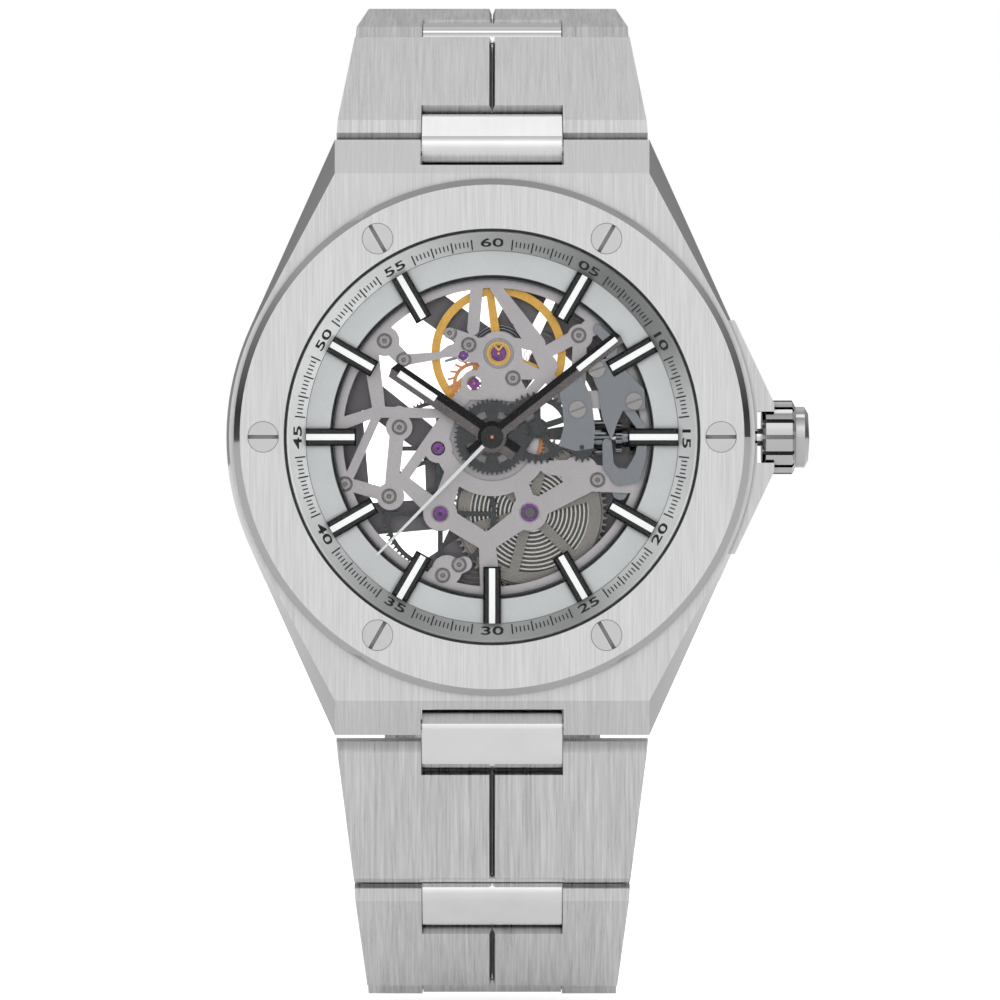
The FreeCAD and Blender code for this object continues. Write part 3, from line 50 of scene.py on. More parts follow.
# ---------------------------------------------------------------- sizes in millimetres, as the CAD has them
# Dial-up frame: x towards the crown, y towards 12 o'clock, z out of the dial, back of the case at z = 0.
HOUR_ANGLE, MINUTE_ANGLE = 304.3, 51.74          # clockwise from 12, in degrees
TRACK_INNER, TRACK_OUTER = 14.85, 16.15
TRACK_LOW, TRACK_HIGH = 7.1, 8.3
BALANCE = (0.52, 6.67)
BARREL = (2.98, -6.0)
MARKER_TOP = 7.6
SETTING_EDGE = 0.96                  # gold ends and steel begins, from the balance's axis
HUB_RADIUS = 0.98                    # black hub of the seconds hand
LONG_TICK = (14.93, 15.74, 0.058)    # inner end, outer end, half width
SHORT_TICK = (15.18, 15.62, 0.05)
NUMERAL_RADIUS, NUMERAL_SIZE, NUMERAL_STRETCH = 15.42, 1.22, 1.55

# ---------------------------------------------------------------- view
CAMERA_DISTANCE = 0.75               # metres from the dial
DIAL_LEVEL = 8.5
VIEW_HEIGHT = 79.37                  # millimetres of the dial plane that fill the picture
VIEW_CENTRE = (0.63, -5.0)
FLOOR_GAP = 0.0008
FLOOR_HALF = 4.0


def place(x, y, z):
    """Point of the dial-up frame, in millimetres, as a row-frame vector in metres."""
    return Vector((x, -z, y)) * MM


# ---------------------------------------------------------------- materials
def new_material(name):
    material = bpy.data.materials.new(name)
    material.use_nodes = True
    tree = material.node_tree
    shader = next(node for node in tree.nodes if node.type == "BSDF_PRINCIPLED")
    return material, tree, shader


def add(tree, kind, **settings):
    node = tree.nodes.new(kind)
    for key, value in settings.items():
        setattr(node, key, value)
    return node


def link(tree, source, target):
    tree.links.new(source, target)


def mapped(tree, scale):
    """Object coordinates times a scale for each axis."""
    coordinates = add(tree, "ShaderNodeTexCoord")
    mapping = add(tree, "ShaderNodeMapping")
    mapping.inputs["Scale"].default_value = scale
    link(tree, coordinates.outputs["Object"], mapping.inputs["Vector"])
    return mapping.outputs["Vector"]


def noise(tree, vector, scale=1.0, detail=3.0, roughness=0.6):
    node = add(tree, "ShaderNodeTexNoise")
    node.inputs["Scale"].default_value = scale
    node.inputs["Detail"].default_value = detail
    node.inputs["Roughness"].default_value = roughness
    link(tree, vector, node.inputs["Vector"])
    return node.outputs["Fac"]


def ramp(tree, value, stops):
    """Colour ramp with (position, grey or rgb) stops."""
    node = add(tree, "ShaderNodeValToRGB")
    while len(node.color_ramp.elements) < len(stops):
        node.color_ramp.elements.new(0.5)
    for element, (position, colour) in zip(node.color_ramp.elements, stops):
        element.position = position
        if isinstance(colour, (int, float)):
            colour = (colour, colour, colour)
        element.color = (*colour, 1.0)
    link(tree, value, node.inputs["Fac"])
    return node.outputs["Color"]


def remap(tree, value, low, high, out_low, out_high):
    node = add(tree, "ShaderNodeMapRange")
    for name, number in (("From Min", low), ("From Max", high), ("To Min", out_low), ("To Max", out_high)):
        node.inputs[name].default_value = number
    link(tree, value, node.inputs["Value"])
    return node.outputs["Result"]


def math_node(tree, operation, first, second=None):
    node = add(tree, "ShaderNodeMath", operation=operation)
    for socket, value in zip(node.inputs, (first, second)):
        if value is None:
            continue
        if isinstance(value, (int, float)):
            socket.default_value = value
        else:
            link(tree, value, socket)
    return node.outputs[0]


def mix_value(tree, factor, low, high):
    """low where factor is 0 and high where it is 1; each may be a number or a socket."""
    node = add(tree, "ShaderNodeMix", data_type="FLOAT")
    link(tree, factor, node.inputs[0])
    for socket, value in ((node.inputs[2], low), (node.inputs[3], high)):
        if isinstance(value, (int, float)):
            socket.default_value = value
        else:
            link(tree, value, socket)
    return node.outputs[0]


def mix_colour(tree, factor, low, high):
    node = add(tree, "ShaderNodeMix", data_type="RGBA")
    link(tree, factor, node.inputs[0])
    for socket, value in ((node.inputs[6], low), (node.inputs[7], high)):
        if isinstance(value, tuple):
            socket.default_value = (*value, 1.0)
        else:
            link(tree, value, socket)
    return node.outputs[2]


def bump(tree, shader, height, strength, distance=0.00002):
    node = add(tree, "ShaderNodeBump")
    node.inputs["Strength"].default_value = strength
    node.inputs["Distance"].default_value = distance
    link(tree, height, node.inputs["Height"])
    link(tree, node.outputs["Normal"], shader.inputs["Normal"])


def painted_crevice_shade(tree, shader, colour, depth=0.35, darkest=0.35):
    """Base colour with painted shade: darker in slots and corners, where an ambient occlusion test finds
    them.
    """
    crevice = add(tree, "ShaderNodeAmbientOcclusion", samples=6)
    crevice.inputs["Distance"].default_value = depth * MM
    factor = remap(tree, crevice.outputs["AO"], 0.15, 0.85, darkest, 1.0)
    shade = add(tree, "ShaderNodeMix", data_type="RGBA", blend_type="MULTIPLY")
    shade.inputs[0].default_value = 1.0
    link(tree, colour, shade.inputs[6])
    combine = add(tree, "ShaderNodeCombineColor")
    for channel in combine.inputs[:3]:
        link(tree, factor, channel)
    link(tree, combine.outputs[0], shade.inputs[7])
    link(tree, shade.outputs[2], shader.inputs["Base Color"])


def normal_parts(tree):
    """The surface normal's x, y and z."""
    geometry = add(tree, "ShaderNodeNewGeometry")
    split = add(tree, "ShaderNodeSeparateXYZ")
    link(tree, geometry.outputs["Normal"], split.inputs[0])
    return split.outputs


def distance_from(tree, centre):
    """How far a point of the dial plane lies from a centre given in millimetres."""
    coordinates = add(tree, "ShaderNodeTexCoord")
    shift = add(tree, "ShaderNodeVectorMath", operation="SUBTRACT")
    link(tree, coordinates.outputs["Object"], shift.inputs[0])
    shift.inputs[1].default_value = place(centre[0], centre[1], 0)
    flat = add(tree, "ShaderNodeVectorMath", operation="MULTIPLY")
    link(tree, shift.outputs[0], flat.inputs[0])
    flat.inputs[1].default_value = (1.0, 0.0, 1.0)
    length = add(tree, "ShaderNodeVectorMath", operation="LENGTH")
    link(tree, flat.outputs[0], length.inputs[0])
    return length.outputs["Value"]


def brushed_steel(name, colour, rough=0.34, grain=0.5, polish_mask=None, across=6500.0,
                  polished=(0.5, 0.5, 0.51)):
    """Steel brushed lengthways: fine grain across x, long along the bracelet, polished where a mask says."""
    material, tree, shader = new_material(name)
    shader.inputs["Metallic"].default_value = 1.0
    fine = noise(tree, mapped(tree, (across, 190.0, 190.0)), 1.0, 3.0, 0.6)
    broad = noise(tree, mapped(tree, (900.0, 40.0, 40.0)), 1.0, 2.0, 0.5)
    streaks = math_node(tree, "ADD", math_node(tree, "MULTIPLY", fine, 0.85),
                        math_node(tree, "MULTIPLY", broad, 0.15))
    dark = tuple(part * (1 - 0.28 * grain) for part in colour)
    light = tuple(min(1.0, part * (1 + 0.22 * grain)) for part in colour)
    tint = mix_colour(tree, remap(tree, streaks, 0.3, 0.7, 0.0, 1.0), dark, light)
    roughness = remap(tree, streaks, 0.3, 0.7, rough - 0.06, rough + 0.08)
    height = streaks
    if polish_mask:
        mask = polish_mask(tree)
        tint = mix_colour(tree, mask, tint, polished)
        roughness = mix_value(tree, mask, roughness, 0.07)
        height = mix_value(tree, mask, height, 0.5)
    # Painted shade in slots and corners.
    painted_crevice_shade(tree, shader, tint)
    link(tree, roughness, shader.inputs["Roughness"])
    bump(tree, shader, height, 0.18 * grain)
    return material


def case_polish(tree):
    """The flanks, whose normals turn sideways, are polished; the top and the lug ends stay brushed."""
    x = math_node(tree, "ABSOLUTE", normal_parts(tree)["X"])
    return remap(tree, x, 0.12, 0.2, 0.0, 1.0)


def bezel_polish(tree):
    """Everything but the flat top of the bezel is polished."""
    y = math_node(tree, "ABSOLUTE", normal_parts(tree)["Y"])
    return remap(tree, y, 0.97, 0.93, 0.0, 1.0)


def polished_steel(name, colour=(0.86, 0.86, 0.865), rough=0.06, depth=0.35, darkest=0.35):
    """Mirror steel with faint hairlines and smears."""
    material, tree, shader = new_material(name)
    shader.inputs["Metallic"].default_value = 1.0
    smear = noise(tree, mapped(tree, (300.0, 300.0, 300.0)), 1.0, 2.0)
    hair = noise(tree, mapped(tree, (2500.0, 120.0, 120.0)), 1.0, 3.0)
    tint = ramp(tree, smear, [(0.3, tuple(c * 0.95 for c in colour)), (0.7, colour)])
    # Painted shade in slots and corners.
    painted_crevice_shade(tree, shader, tint, depth, darkest)
    link(tree, remap(tree, hair, 0.3, 0.8, rough, rough + 0.06), shader.inputs["Roughness"])
    bump(tree, shader, smear, 0.02)
    return material


def blasted(name, colour, rough=0.42, grain_size=9000.0, depth=0.9, darkest=0.22):
    """Sand-blasted and plated metal: fine even sparkle with a soft tone variation."""
    material, tree, shader = new_material(name)
    shader.inputs["Metallic"].default_value = 1.0
    sand = noise(tree, mapped(tree, (grain_size,) * 3), 1.0, 2.0, 0.7)
    tone = noise(tree, mapped(tree, (160.0,) * 3), 1.0, 3.0)
    base = mix_colour(tree, remap(tree, tone, 0.3, 0.7, 0.0, 1.0), tuple(c * 0.88 for c in colour), colour)
    brightest = tuple(min(1, c * 1.25) for c in colour)
    sparkle = mix_colour(tree, remap(tree, sand, 0.35, 0.7, 0.0, 0.5), base, brightest)
    # Painted shade in slots and corners.
    painted_crevice_shade(tree, shader, sparkle, depth, darkest)
    link(tree, remap(tree, sand, 0.3, 0.7, rough - 0.1, rough + 0.1), shader.inputs["Roughness"])
    bump(tree, shader, sand, 0.35, 0.00001)
    return material


def circular_brushed(name, colour, centre, rough=0.3, rings=9000.0, depth=0.3, darkest=0.3):
    """Metal turned or brushed in circles about a point of the dial."""
    material, tree, shader = new_material(name)
    shader.inputs["Metallic"].default_value = 1.0
    radius = math_node(tree, "MULTIPLY", distance_from(tree, centre), rings)
    combine = add(tree, "ShaderNodeCombineXYZ")
    link(tree, radius, combine.inputs["X"])
    lines = noise(tree, combine.outputs[0], 1.0, 3.0, 0.7)
    tint = ramp(tree, lines, [(0.3, tuple(c * 0.88 for c in colour)), (0.7, colour)])
    # Painted shade in slots and corners.
    painted_crevice_shade(tree, shader, tint, depth, darkest)
    link(tree, remap(tree, lines, 0.3, 0.7, rough - 0.08, rough + 0.1), shader.inputs["Roughness"])
    bump(tree, shader, lines, 0.06, 0.00001)
    return material


# Painted light and shade of the sloped scale, as (turns clockwise from 12, grey).
TRACK_PAINTED_SHADE = [(0.0, 0.45), (0.04, 0.4), (0.1, 0.24), (0.17, 0.3), (0.23, 0.7), (0.31, 0.85), (0.38, 0.6),
               (0.43, 0.33), (0.5, 0.42), (0.58, 0.33), (0.64, 0.6), (0.71, 0.9), (0.86, 0.9), (0.94, 0.7),
               (1.0, 0.45)]


def track_finish_and_painted_shade(name):
    """Fine-blasted silver slope with painted light and shade that change round the dial, given as turns
    clockwise from 12; the painted light also glows as emission.
    """
    material, tree, shader = new_material(name)
    shader.inputs["Metallic"].default_value = 0.6
    sand = noise(tree, mapped(tree, (14000.0,) * 3), 1.0, 2.0, 0.7)
    coordinates = add(tree, "ShaderNodeTexCoord")
    split = add(tree, "ShaderNodeSeparateXYZ")
    link(tree, coordinates.outputs["Object"], split.inputs[0])
    angle = math_node(tree, "ARCTAN2", math_node(tree, "MULTIPLY", split.outputs["X"], -1.0),
                      math_node(tree, "MULTIPLY", split.outputs["Z"], -1.0))
    shade = ramp(tree, remap(tree, angle, -math.pi, math.pi, 0.0, 1.0), TRACK_PAINTED_SHADE)
    link(tree, shade, shader.inputs["Base Color"])
    # Painted glow: the lighter parts of the painted shading also give off light.
    link(tree, shade, shader.inputs["Emission Color"])
    shader.inputs["Emission Strength"].default_value = 0.22
    link(tree, remap(tree, sand, 0.3, 0.7, 0.35, 0.5), shader.inputs["Roughness"])
    bump(tree, shader, sand, 0.3, 0.00001)
    return material


def lacquer(name, colour, rough=0.18, metallic=0.0, spread=0.15, glow=0.0):
    """Smooth coloured finish with slight tone and gloss variation; glow adds painted light as emission."""
    material, tree, shader = new_material(name)
    shader.inputs["Metallic"].default_value = metallic
    tone = noise(tree, mapped(tree, (700.0,) * 3), 1.0, 3.0)
    low = tuple(c * (1 - spread) for c in colour)
    tint = mix_colour(tree, remap(tree, tone, 0.3, 0.7, 0.0, 1.0), low, colour)
    link(tree, tint, shader.inputs["Base Color"])
    link(tree, remap(tree, tone, 0.3, 0.7, rough, rough + 0.1), shader.inputs["Roughness"])
    shader.inputs["Emission Color"].default_value = (*colour, 1.0)
    shader.inputs["Emission Strength"].default_value = glow
    bump(tree, shader, tone, 0.03)
    return material


def hand_finish(name, degrees, dark_side):
    """Hand split along its middle: one flank black, the other a satin brown-grey."""
    material, tree, shader = new_material(name)
    shader.inputs["Metallic"].default_value = 0.75
    angle = math.radians(90 - degrees)
    coordinates = add(tree, "ShaderNodeTexCoord")
    side = add(tree, "ShaderNodeVectorMath", operation="DOT_PRODUCT")
    link(tree, coordinates.outputs["Object"], side.inputs[0])
    side.inputs[1].default_value = (-math.sin(angle) * dark_side, 0.0, math.cos(angle) * dark_side)
    facet = remap(tree, side.outputs["Value"], -0.00003, 0.00003, 0.0, 1.0)
    along = noise(tree, mapped(tree, (900.0,) * 3), 1.0, 3.0)
    satin = mix_colour(tree, along, (0.13, 0.115, 0.115), (0.2, 0.18, 0.18))
    link(tree, mix_colour(tree, facet, satin, (0.012, 0.011, 0.012)), shader.inputs["Base Color"])
    link(tree, remap(tree, along, 0.3, 0.7, 0.22, 0.32), shader.inputs["Roughness"])
    bump(tree, shader, along, 0.05)
    return material


def setting_finish(name):
    """Gold chaton and lyre round the balance jewel, dark steel rims everywhere else."""
    material, tree, shader = new_material(name)
    shader.inputs["Metallic"].default_value = 1.0
    reach = distance_from(tree, BALANCE)
    tone = noise(tree, mapped(tree, (900.0,) * 3), 1.0, 3.0)
    gold = mix_colour(tree, tone, (0.62, 0.36, 0.1), (0.85, 0.55, 0.2))
    steel = mix_colour(tree, tone, (0.3, 0.29, 0.28), (0.42, 0.41, 0.4))
    beyond = remap(tree, reach, SETTING_EDGE * MM, (SETTING_EDGE + 0.02) * MM, 0.0, 1.0)
    # Painted shade in slots and corners.
    painted_crevice_shade(tree, shader, mix_colour(tree, beyond, gold, steel), 0.3, 0.2)
    link(tree, remap(tree, tone, 0.3, 0.7, 0.14, 0.26), shader.inputs["Roughness"])
    bump(tree, shader, tone, 0.05)
    return material


def needle_finish(name):
    """White lacquered needle with a black hub."""
    material, tree, shader = new_material(name)
    hub = remap(tree, distance_from(tree, (0, 0)), HUB_RADIUS * MM, (HUB_RADIUS + 0.04) * MM, 1.0, 0.0)
    tone = noise(tree, mapped(tree, (700.0,) * 3), 1.0, 3.0)
    white = mix_colour(tree, tone, (0.86, 0.86, 0.86), (0.93, 0.93, 0.93))
    link(tree, mix_colour(tree, hub, white, (0.012, 0.011, 0.011)), shader.inputs["Base Color"])
    link(tree, remap(tree, tone, 0.3, 0.7, 0.2, 0.3), shader.inputs["Roughness"])
    return material


def ruby(name):
    """Purple synthetic ruby: glossy, with a purple tone that varies at random."""
    material, tree, shader = new_material(name)
    tone = noise(tree, mapped(tree, (1800.0,) * 3), 1.0, 2.0)
    purple = ramp(tree, tone, [(0.35, (0.07, 0.004, 0.12)), (0.65, (0.26, 0.02, 0.36))])
    link(tree, purple, shader.inputs["Base Color"])
    link(tree, remap(tree, tone, 0.3, 0.7, 0.03, 0.1), shader.inputs["Roughness"])
    shader.inputs["Coat Weight"].default_value = 1.0
    shader.inputs["Coat Roughness"].default_value = 0.03
    return material


def sapphire(name):
    """Coated crystal: clear, with a faint reflection that grows at a glancing angle."""
    material, tree, shader = new_material(name)
    output = next(node for node in tree.nodes if node.type == "OUTPUT_MATERIAL")
    shader.inputs["Base Color"].default_value = (1, 1, 1, 1)
    shader.inputs["Roughness"].default_value = 0.02
    shader.inputs["Metallic"].default_value = 1.0
    clear = add(tree, "ShaderNodeBsdfTransparent")
    clear.inputs["Color"].default_value = (0.985, 0.99, 0.99, 1)
    facing = add(tree, "ShaderNodeLayerWeight")
    facing.inputs["Blend"].default_value = 0.12
    dust = noise(tree, mapped(tree, (260.0,) * 3), 1.0, 2.0)
    share = math_node(tree, "MULTIPLY", facing.outputs["Fresnel"], remap(tree, dust, 0.3, 0.7, 0.16, 0.2))
    blend = add(tree, "ShaderNodeMixShader")
    link(tree, share, blend.inputs[0])
    link(tree, clear.outputs[0], blend.inputs[1])
    link(tree, shader.outputs[0], blend.inputs[2])
    link(tree, blend.outputs[0], output.inputs["Surface"])
    return material


def rubber(name):
    material, tree, shader = new_material(name)
    tone = noise(tree, mapped(tree, (2500.0,) * 3), 1.0, 4.0)
    link(tree, ramp(tree, tone, [(0.3, 0.015), (0.7, 0.035)]), shader.inputs["Base Color"])
    link(tree, remap(tree, tone, 0.3, 0.7, 0.55, 0.75), shader.inputs["Roughness"])
    bump(tree, shader, tone, 0.2)
    return material


def floor_paint(name):
    """Pale sweep with a little glow of its own, so that it meets the white background without a line."""
    material, tree, shader = new_material(name)
    tone = noise(tree, mapped(tree, (4.0, 4.0, 4.0)), 1.0, 2.0)
    paint = ramp(tree, tone, [(0.3, 0.885), (0.7, 0.9)])
    link(tree, paint, shader.inputs["Base Color"])
    link(tree, paint, shader.inputs["Emission Color"])
    rays = add(tree, "ShaderNodeLightPath")
    glow = remap(tree, rays.outputs["Is Camera Ray"], 0, 1, 0.22, 0.85)
    link(tree, glow, shader.inputs["Emission Strength"])
    shader.inputs["Roughness"].default_value = 0.8
    shader.inputs["Specular IOR Level"].default_value = 0.1
    return material


STEEL = (0.72, 0.72, 0.725)
GEAR_GREY = (0.085, 0.088, 0.09)
# Where depth and darkest numbers are passed below, they set how far and how dark the painted shade in each
# finish's slots and corners goes.
CASE_STEEL = brushed_steel("case_steel", STEEL, 0.34, 0.5, case_polish)
BEZEL_STEEL = brushed_steel("bezel_steel", (0.76, 0.76, 0.765), 0.36, 0.45, bezel_polish)
LINK_STEEL = brushed_steel("link_steel", (0.68, 0.68, 0.685), 0.3, 0.8, None, 5200.0)
MIRROR = polished_steel("polished_steel")
CROWN_STEEL = polished_steel("crown_steel", (0.6, 0.6, 0.605), 0.08, 0.9, 0.1)
# The screw slots get deep painted shade.
SCREW_STEEL = polished_steel("screw_steel", (0.68, 0.68, 0.685), 0.22, 0.6, 0.06)
PLATE = blasted("blasted_plate", (0.52, 0.49, 0.505), 0.42, 9000.0, 0.7, 0.32)
BRIDGE = blasted("blasted_bridge", (0.2, 0.19, 0.2))
DIAL_SILVER = blasted("dial_silver", (0.7, 0.71, 0.715), 0.5, 14000.0)
TRACK_SILVER = track_finish_and_painted_shade("track_silver")
BLACK = lacquer("black_nickel", (0.012, 0.011, 0.012), 0.16, 0.0)
HOUR_FINISH = hand_finish("hour_hand_finish", HOUR_ANGLE, -1)
MINUTE_FINISH = hand_finish("minute_hand_finish", MINUTE_ANGLE, 1)
# The lume glows a little: painted light that keeps it bright white.
LUME = lacquer("lume_white", (0.95, 0.955, 0.95), 0.5, 0.0, 0.03, 0.28)
PRINT = lacquer("print_black", (0.02, 0.02, 0.02), 0.4)
NEEDLE_WHITE = needle_finish("needle_white")
GILT = lacquer("gilt", (0.86, 0.5, 0.13), 0.2, 1.0, 0.2)
COPPER = lacquer("copper", (0.75, 0.33, 0.16), 0.25, 1.0, 0.2)
DARK_STEEL = circular_brushed("dark_steel", GEAR_GREY, (0, 0), 0.2, 5000.0, 0.15, 0.2)
KEYLESS_STEEL = polished_steel("keyless_steel", (0.27, 0.28, 0.3), 0.12)
# The barrel's floor between the spring coils gets deep painted shade.
BARREL_STEEL = circular_brushed("barrel_steel", (0.3, 0.28, 0.26), BARREL, 0.26, 6000.0, 0.9, 0.08)
SPRING_STEEL = polished_steel("spring_steel", (0.6, 0.59, 0.57), 0.1, 0.4, 0.03)
BLUED = lacquer("hairspring_steel", (0.35, 0.35, 0.4), 0.2, 1.0)
ROTOR_STEEL = circular_brushed("rotor_steel", (0.17, 0.165, 0.165), (0, 0), 0.3, 5000.0)
SETTING_FINISH = setting_finish("setting_finish")
PIN_STEEL = polished_steel("pin_steel", (0.4, 0.385, 0.375), 0.2, 0.4, 0.15)
RUBY = ruby("ruby")
SAPPHIRE = sapphire("sapphire")
RUBBER = rubber("gasket_rubber")

FINISHES = {
    "case_body": CASE_STEEL, "bezel": BEZEL_STEEL, "bezel_screws": SCREW_STEEL, "crystal": SAPPHIRE,
    "caseback_ring": CASE_STEEL, "caseback_glass": SAPPHIRE, "gaskets": RUBBER,
    "bracelet_pins": MIRROR, "crown": CROWN_STEEL, "winding_stem": MIRROR,
    "sliding_clutch": KEYLESS_STEEL, "winding_pinion": KEYLESS_STEEL, "dial_ring": DIAL_SILVER,
    "minute_track": TRACK_SILVER, "hour_markers": BLACK, "hour_hand": HOUR_FINISH,
    "minute_hand": MINUTE_FINISH, "seconds_hand": NEEDLE_WHITE, "main_plate": PLATE,
    "movement_screws": PIN_STEEL, "train_bridge": BRIDGE, "barrel_bridge": BRIDGE,
    "balance_cock": BRIDGE, "jewels": RUBY, "jewel_settings": SETTING_FINISH,
    "keyless_plates": KEYLESS_STEEL, "setting_lever": KEYLESS_STEEL, "barrel": BARREL_STEEL,
    "mainspring": SPRING_STEEL, "ratchet_wheel": ROTOR_STEEL, "crown_wheel": ROTOR_STEEL,
    "click": KEYLESS_STEEL, "great_wheel": DARK_STEEL, "third_wheel": DARK_STEEL,
    "seconds_wheel": COPPER, "escape_wheel": COPPER, "pallet_fork": KEYLESS_STEEL,
    "balance_wheel": GILT, "hairspring": BLUED, "cannon_pinion": DARK_STEEL,
    "minute_wheel": DARK_STEEL, "hour_wheel": DARK_STEEL, "setting_wheel": DARK_STEEL,
    "rotor": ROTOR_STEEL, "rotor_bearing": MIRROR, "clasp_cover": LINK_STEEL,
    "clasp_long_blade": MIRROR, "clasp_short_blade": MIRROR,
}


def finish_of(name):
    """The table's finish; connectors are polished and every other piece of the bracelet is brushed."""
    if name.startswith("connector"):
        return MIRROR
    return FINISHES.get(name, LINK_STEEL)


LINK_EDGE_WIDTH = 0.12
EDGE_WIDTHS = {
    "case_body": 0.06, "bezel": 0.08, "main_plate": 0.05, "train_bridge": 0.05, "barrel_bridge": 0.05,
    "balance_cock": 0.05, "crown": 0.08, "keyless_plates": 0.03, "clasp_cover": 0.15,
    "clasp_long_blade": 0.1, "clasp_short_blade": 0.1, "bezel_screws": 0.04, "barrel": 0.02,
    "balance_wheel": 0.03, "caseback_ring": 0.08,
}


def soften_edges(node, width):
    """Narrow bevel that catches the light along every sharp edge."""
    modifier = node.modifiers.new("edge", "BEVEL")
    modifier.width = width * MM
    modifier.segments = 2
    modifier.limit_method = "ANGLE"
    modifier.angle_limit = math.radians(35)
    modifier.harden_normals = False


for name, node in NODES.items():
    node.data.materials.clear()
    node.data.materials.append(finish_of(name))
    width = LINK_EDGE_WIDTH if name.startswith(("link", "connector")) else EDGE_WIDTHS.get(name)
    if width:
        soften_edges(node, width)


# ---------------------------------------------------------------- mesh helpers
def mesh_piece(name, mesh, material, body):
    piece = bpy.data.objects.new(name, mesh)
    bpy.context.scene.collection.objects.link(piece)
    piece.data.materials.append(material)
    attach(piece, body)
    return piece


def from_faces(name, vertices, faces):
    mesh = bpy.data.meshes.new(name)
    mesh.from_pydata([tuple(vertex) for vertex in vertices], [], faces)
    mesh.validate()
    return mesh


def face_outwards(mesh):
    """Turns every face's normal to the outside."""
    work = bmesh.new()
    work.from_mesh(mesh)
    bmesh.ops.recalc_face_normals(work, faces=work.faces)
    work.to_mesh(mesh)
    work.free()
    return mesh


class Builder:
    """Collects boxes and strips in the dial-up frame and turns them into one mesh."""

    def __init__(self):
        self.vertices = []
        self.faces = []

    def hexahedron(self, low, high):
        """low and high are lists of four matching corners."""
        first = len(self.vertices)
        self.vertices += list(low) + list(high)
        quads = [(3, 2, 1, 0), (4, 5, 6, 7), (0, 1, 5, 4), (1, 2, 6, 5), (2, 3, 7, 6), (3, 0, 4, 7)]
        self.faces += [tuple(first + corner for corner in quad) for quad in quads]

    def mesh(self, name):
        return face_outwards(from_faces(name, self.vertices, self.faces))


def on_clock(radius, degrees, z):
    angle = math.radians(90 - degrees)
    return place(radius * math.cos(angle), radius * math.sin(angle), z)


def bar_on_clock(builder, inner, outer, half_width, degrees, z0, z1, rise=0.0):
    """Radial bar; rise is how much higher its outer end lies."""
    angle = math.radians(90 - degrees)
    radial = (math.cos(angle), math.sin(angle))
    side = (-radial[1], radial[0])
    def corner(radius, offset, z):
        return place(radial[0] * radius + side[0] * offset, radial[1] * radius + side[1] * offset, z)
    low = [corner(inner, -half_width, z0), corner(outer, -half_width, z0 + rise),
           corner(outer, half_width, z0 + rise), corner(inner, half_width, z0)]
    high = [corner(inner, -half_width, z1), corner(outer, -half_width, z1 + rise),
            corner(outer, half_width, z1 + rise), corner(inner, half_width, z1)]
    builder.hexahedron(low, high)


def turned(name, profile, material, body, segments=180):
    """Lathe-turned ring: profile is a closed list of (radius, z)."""
    vertices, faces = [], []
    count = len(profile)
    for step in range(segments):
        angle = 2 * math.pi * step / segments
        for radius, z in profile:
            vertices.append(place(radius * math.cos(angle), radius * math.sin(angle), z))
        for index in range(count):
            following = (step + 1) % segments
            faces.append((step * count + index, following * count + index,
                          following * count + (index + 1) % count, step * count + (index + 1) % count))
    return mesh_piece(name, face_outwards(from_faces(name, vertices, faces)), material, body)


# ---------------------------------------------------------------- minute scale
TRACK_SLOPE = (TRACK_HIGH - TRACK_LOW) / (TRACK_OUTER - TRACK_INNER)


def track_height(radius):
    return TRACK_LOW + (radius - TRACK_INNER) * TRACK_SLOPE


def minute_ticks():
    """Long ticks on the minutes and four short ones between, left out beside the numerals."""
    builder = Builder()
    for step in range(300):
        minute = step / 5
        past_five = step % 25
        if min(past_five, 25 - past_five) < 5:
            continue
        long_tick = step % 5 == 0
        inner, outer, half = LONG_TICK if long_tick else SHORT_TICK
        low = track_height(inner)
        bar_on_clock(builder, inner, outer, half, minute * 6, low - 0.02, low + 0.015,
                     track_height(outer) - low)
    mesh_piece("minute_ticks", builder.mesh("minute_ticks"), PRINT, "case")


def minute_numerals():
    """Numbers every five minutes, standing on the slope; those in the lower part read the other way up."""
    for index in range(12):
        minutes = index * 5
        curve = bpy.data.curves.new("numeral_%02d" % (minutes or 60), "FONT")
        curve.body = "%02d" % (minutes or 60)
        curve.align_x = "CENTER"
        curve.align_y = "CENTER"
        curve.size = NUMERAL_SIZE * MM
        curve.extrude = 0.008 * MM
        curve.offset = 0.02 * MM
        curve.space_character = 1.02
        numeral = bpy.data.objects.new(curve.name, curve)
        bpy.context.scene.collection.objects.link(numeral)
        degrees = minutes * 6
        angle = math.radians(90 - degrees)
        flipped = 100 < degrees < 260
        outward = Vector((math.cos(angle), 0, math.sin(angle)))
        slope = math.atan(TRACK_SLOPE)
        up = (outward * math.cos(slope) + Vector((0, -1, 0)) * math.sin(slope)).normalized()
        normal = (Vector((0, -1, 0)) * math.cos(slope) - outward * math.sin(slope)).normalized()
        if flipped:
            up = -up
        right = up.cross(normal)
        basis = Matrix((right * NUMERAL_STRETCH, up, normal)).transposed().to_4x4()
        basis.translation = on_clock(NUMERAL_RADIUS, degrees, track_height(NUMERAL_RADIUS) + 0.02)
        numeral.matrix_world = basis
        numeral.data.materials.append(PRINT)
        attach(numeral, "case")


# ---------------------------------------------------------------- lume
def marker_lume():
    """White stripe in the slot of each hour marker."""
    builder = Builder()
    for hour in range(1, 12):
        inner, outer = (10.3, 14.83) if hour == 6 else (10.8, 14.8)
        bar_on_clock(builder, inner + 0.13, outer - 0.02, 0.245, hour * 30, MARKER_TOP - 0.12,
                     MARKER_TOP - 0.01)
    mesh_piece("marker_lume", builder.mesh("marker_lume"), LUME, "case")


def hand_lume(name, body, start, end, half_width, z0, z1, degrees):
    """White bar in the window of a hand."""
    builder = Builder()
    bar_on_clock(builder, start + 0.02, end - 0.02, half_width, degrees, z0, z1)
    mesh_piece(name, builder.mesh(name), LUME, body)


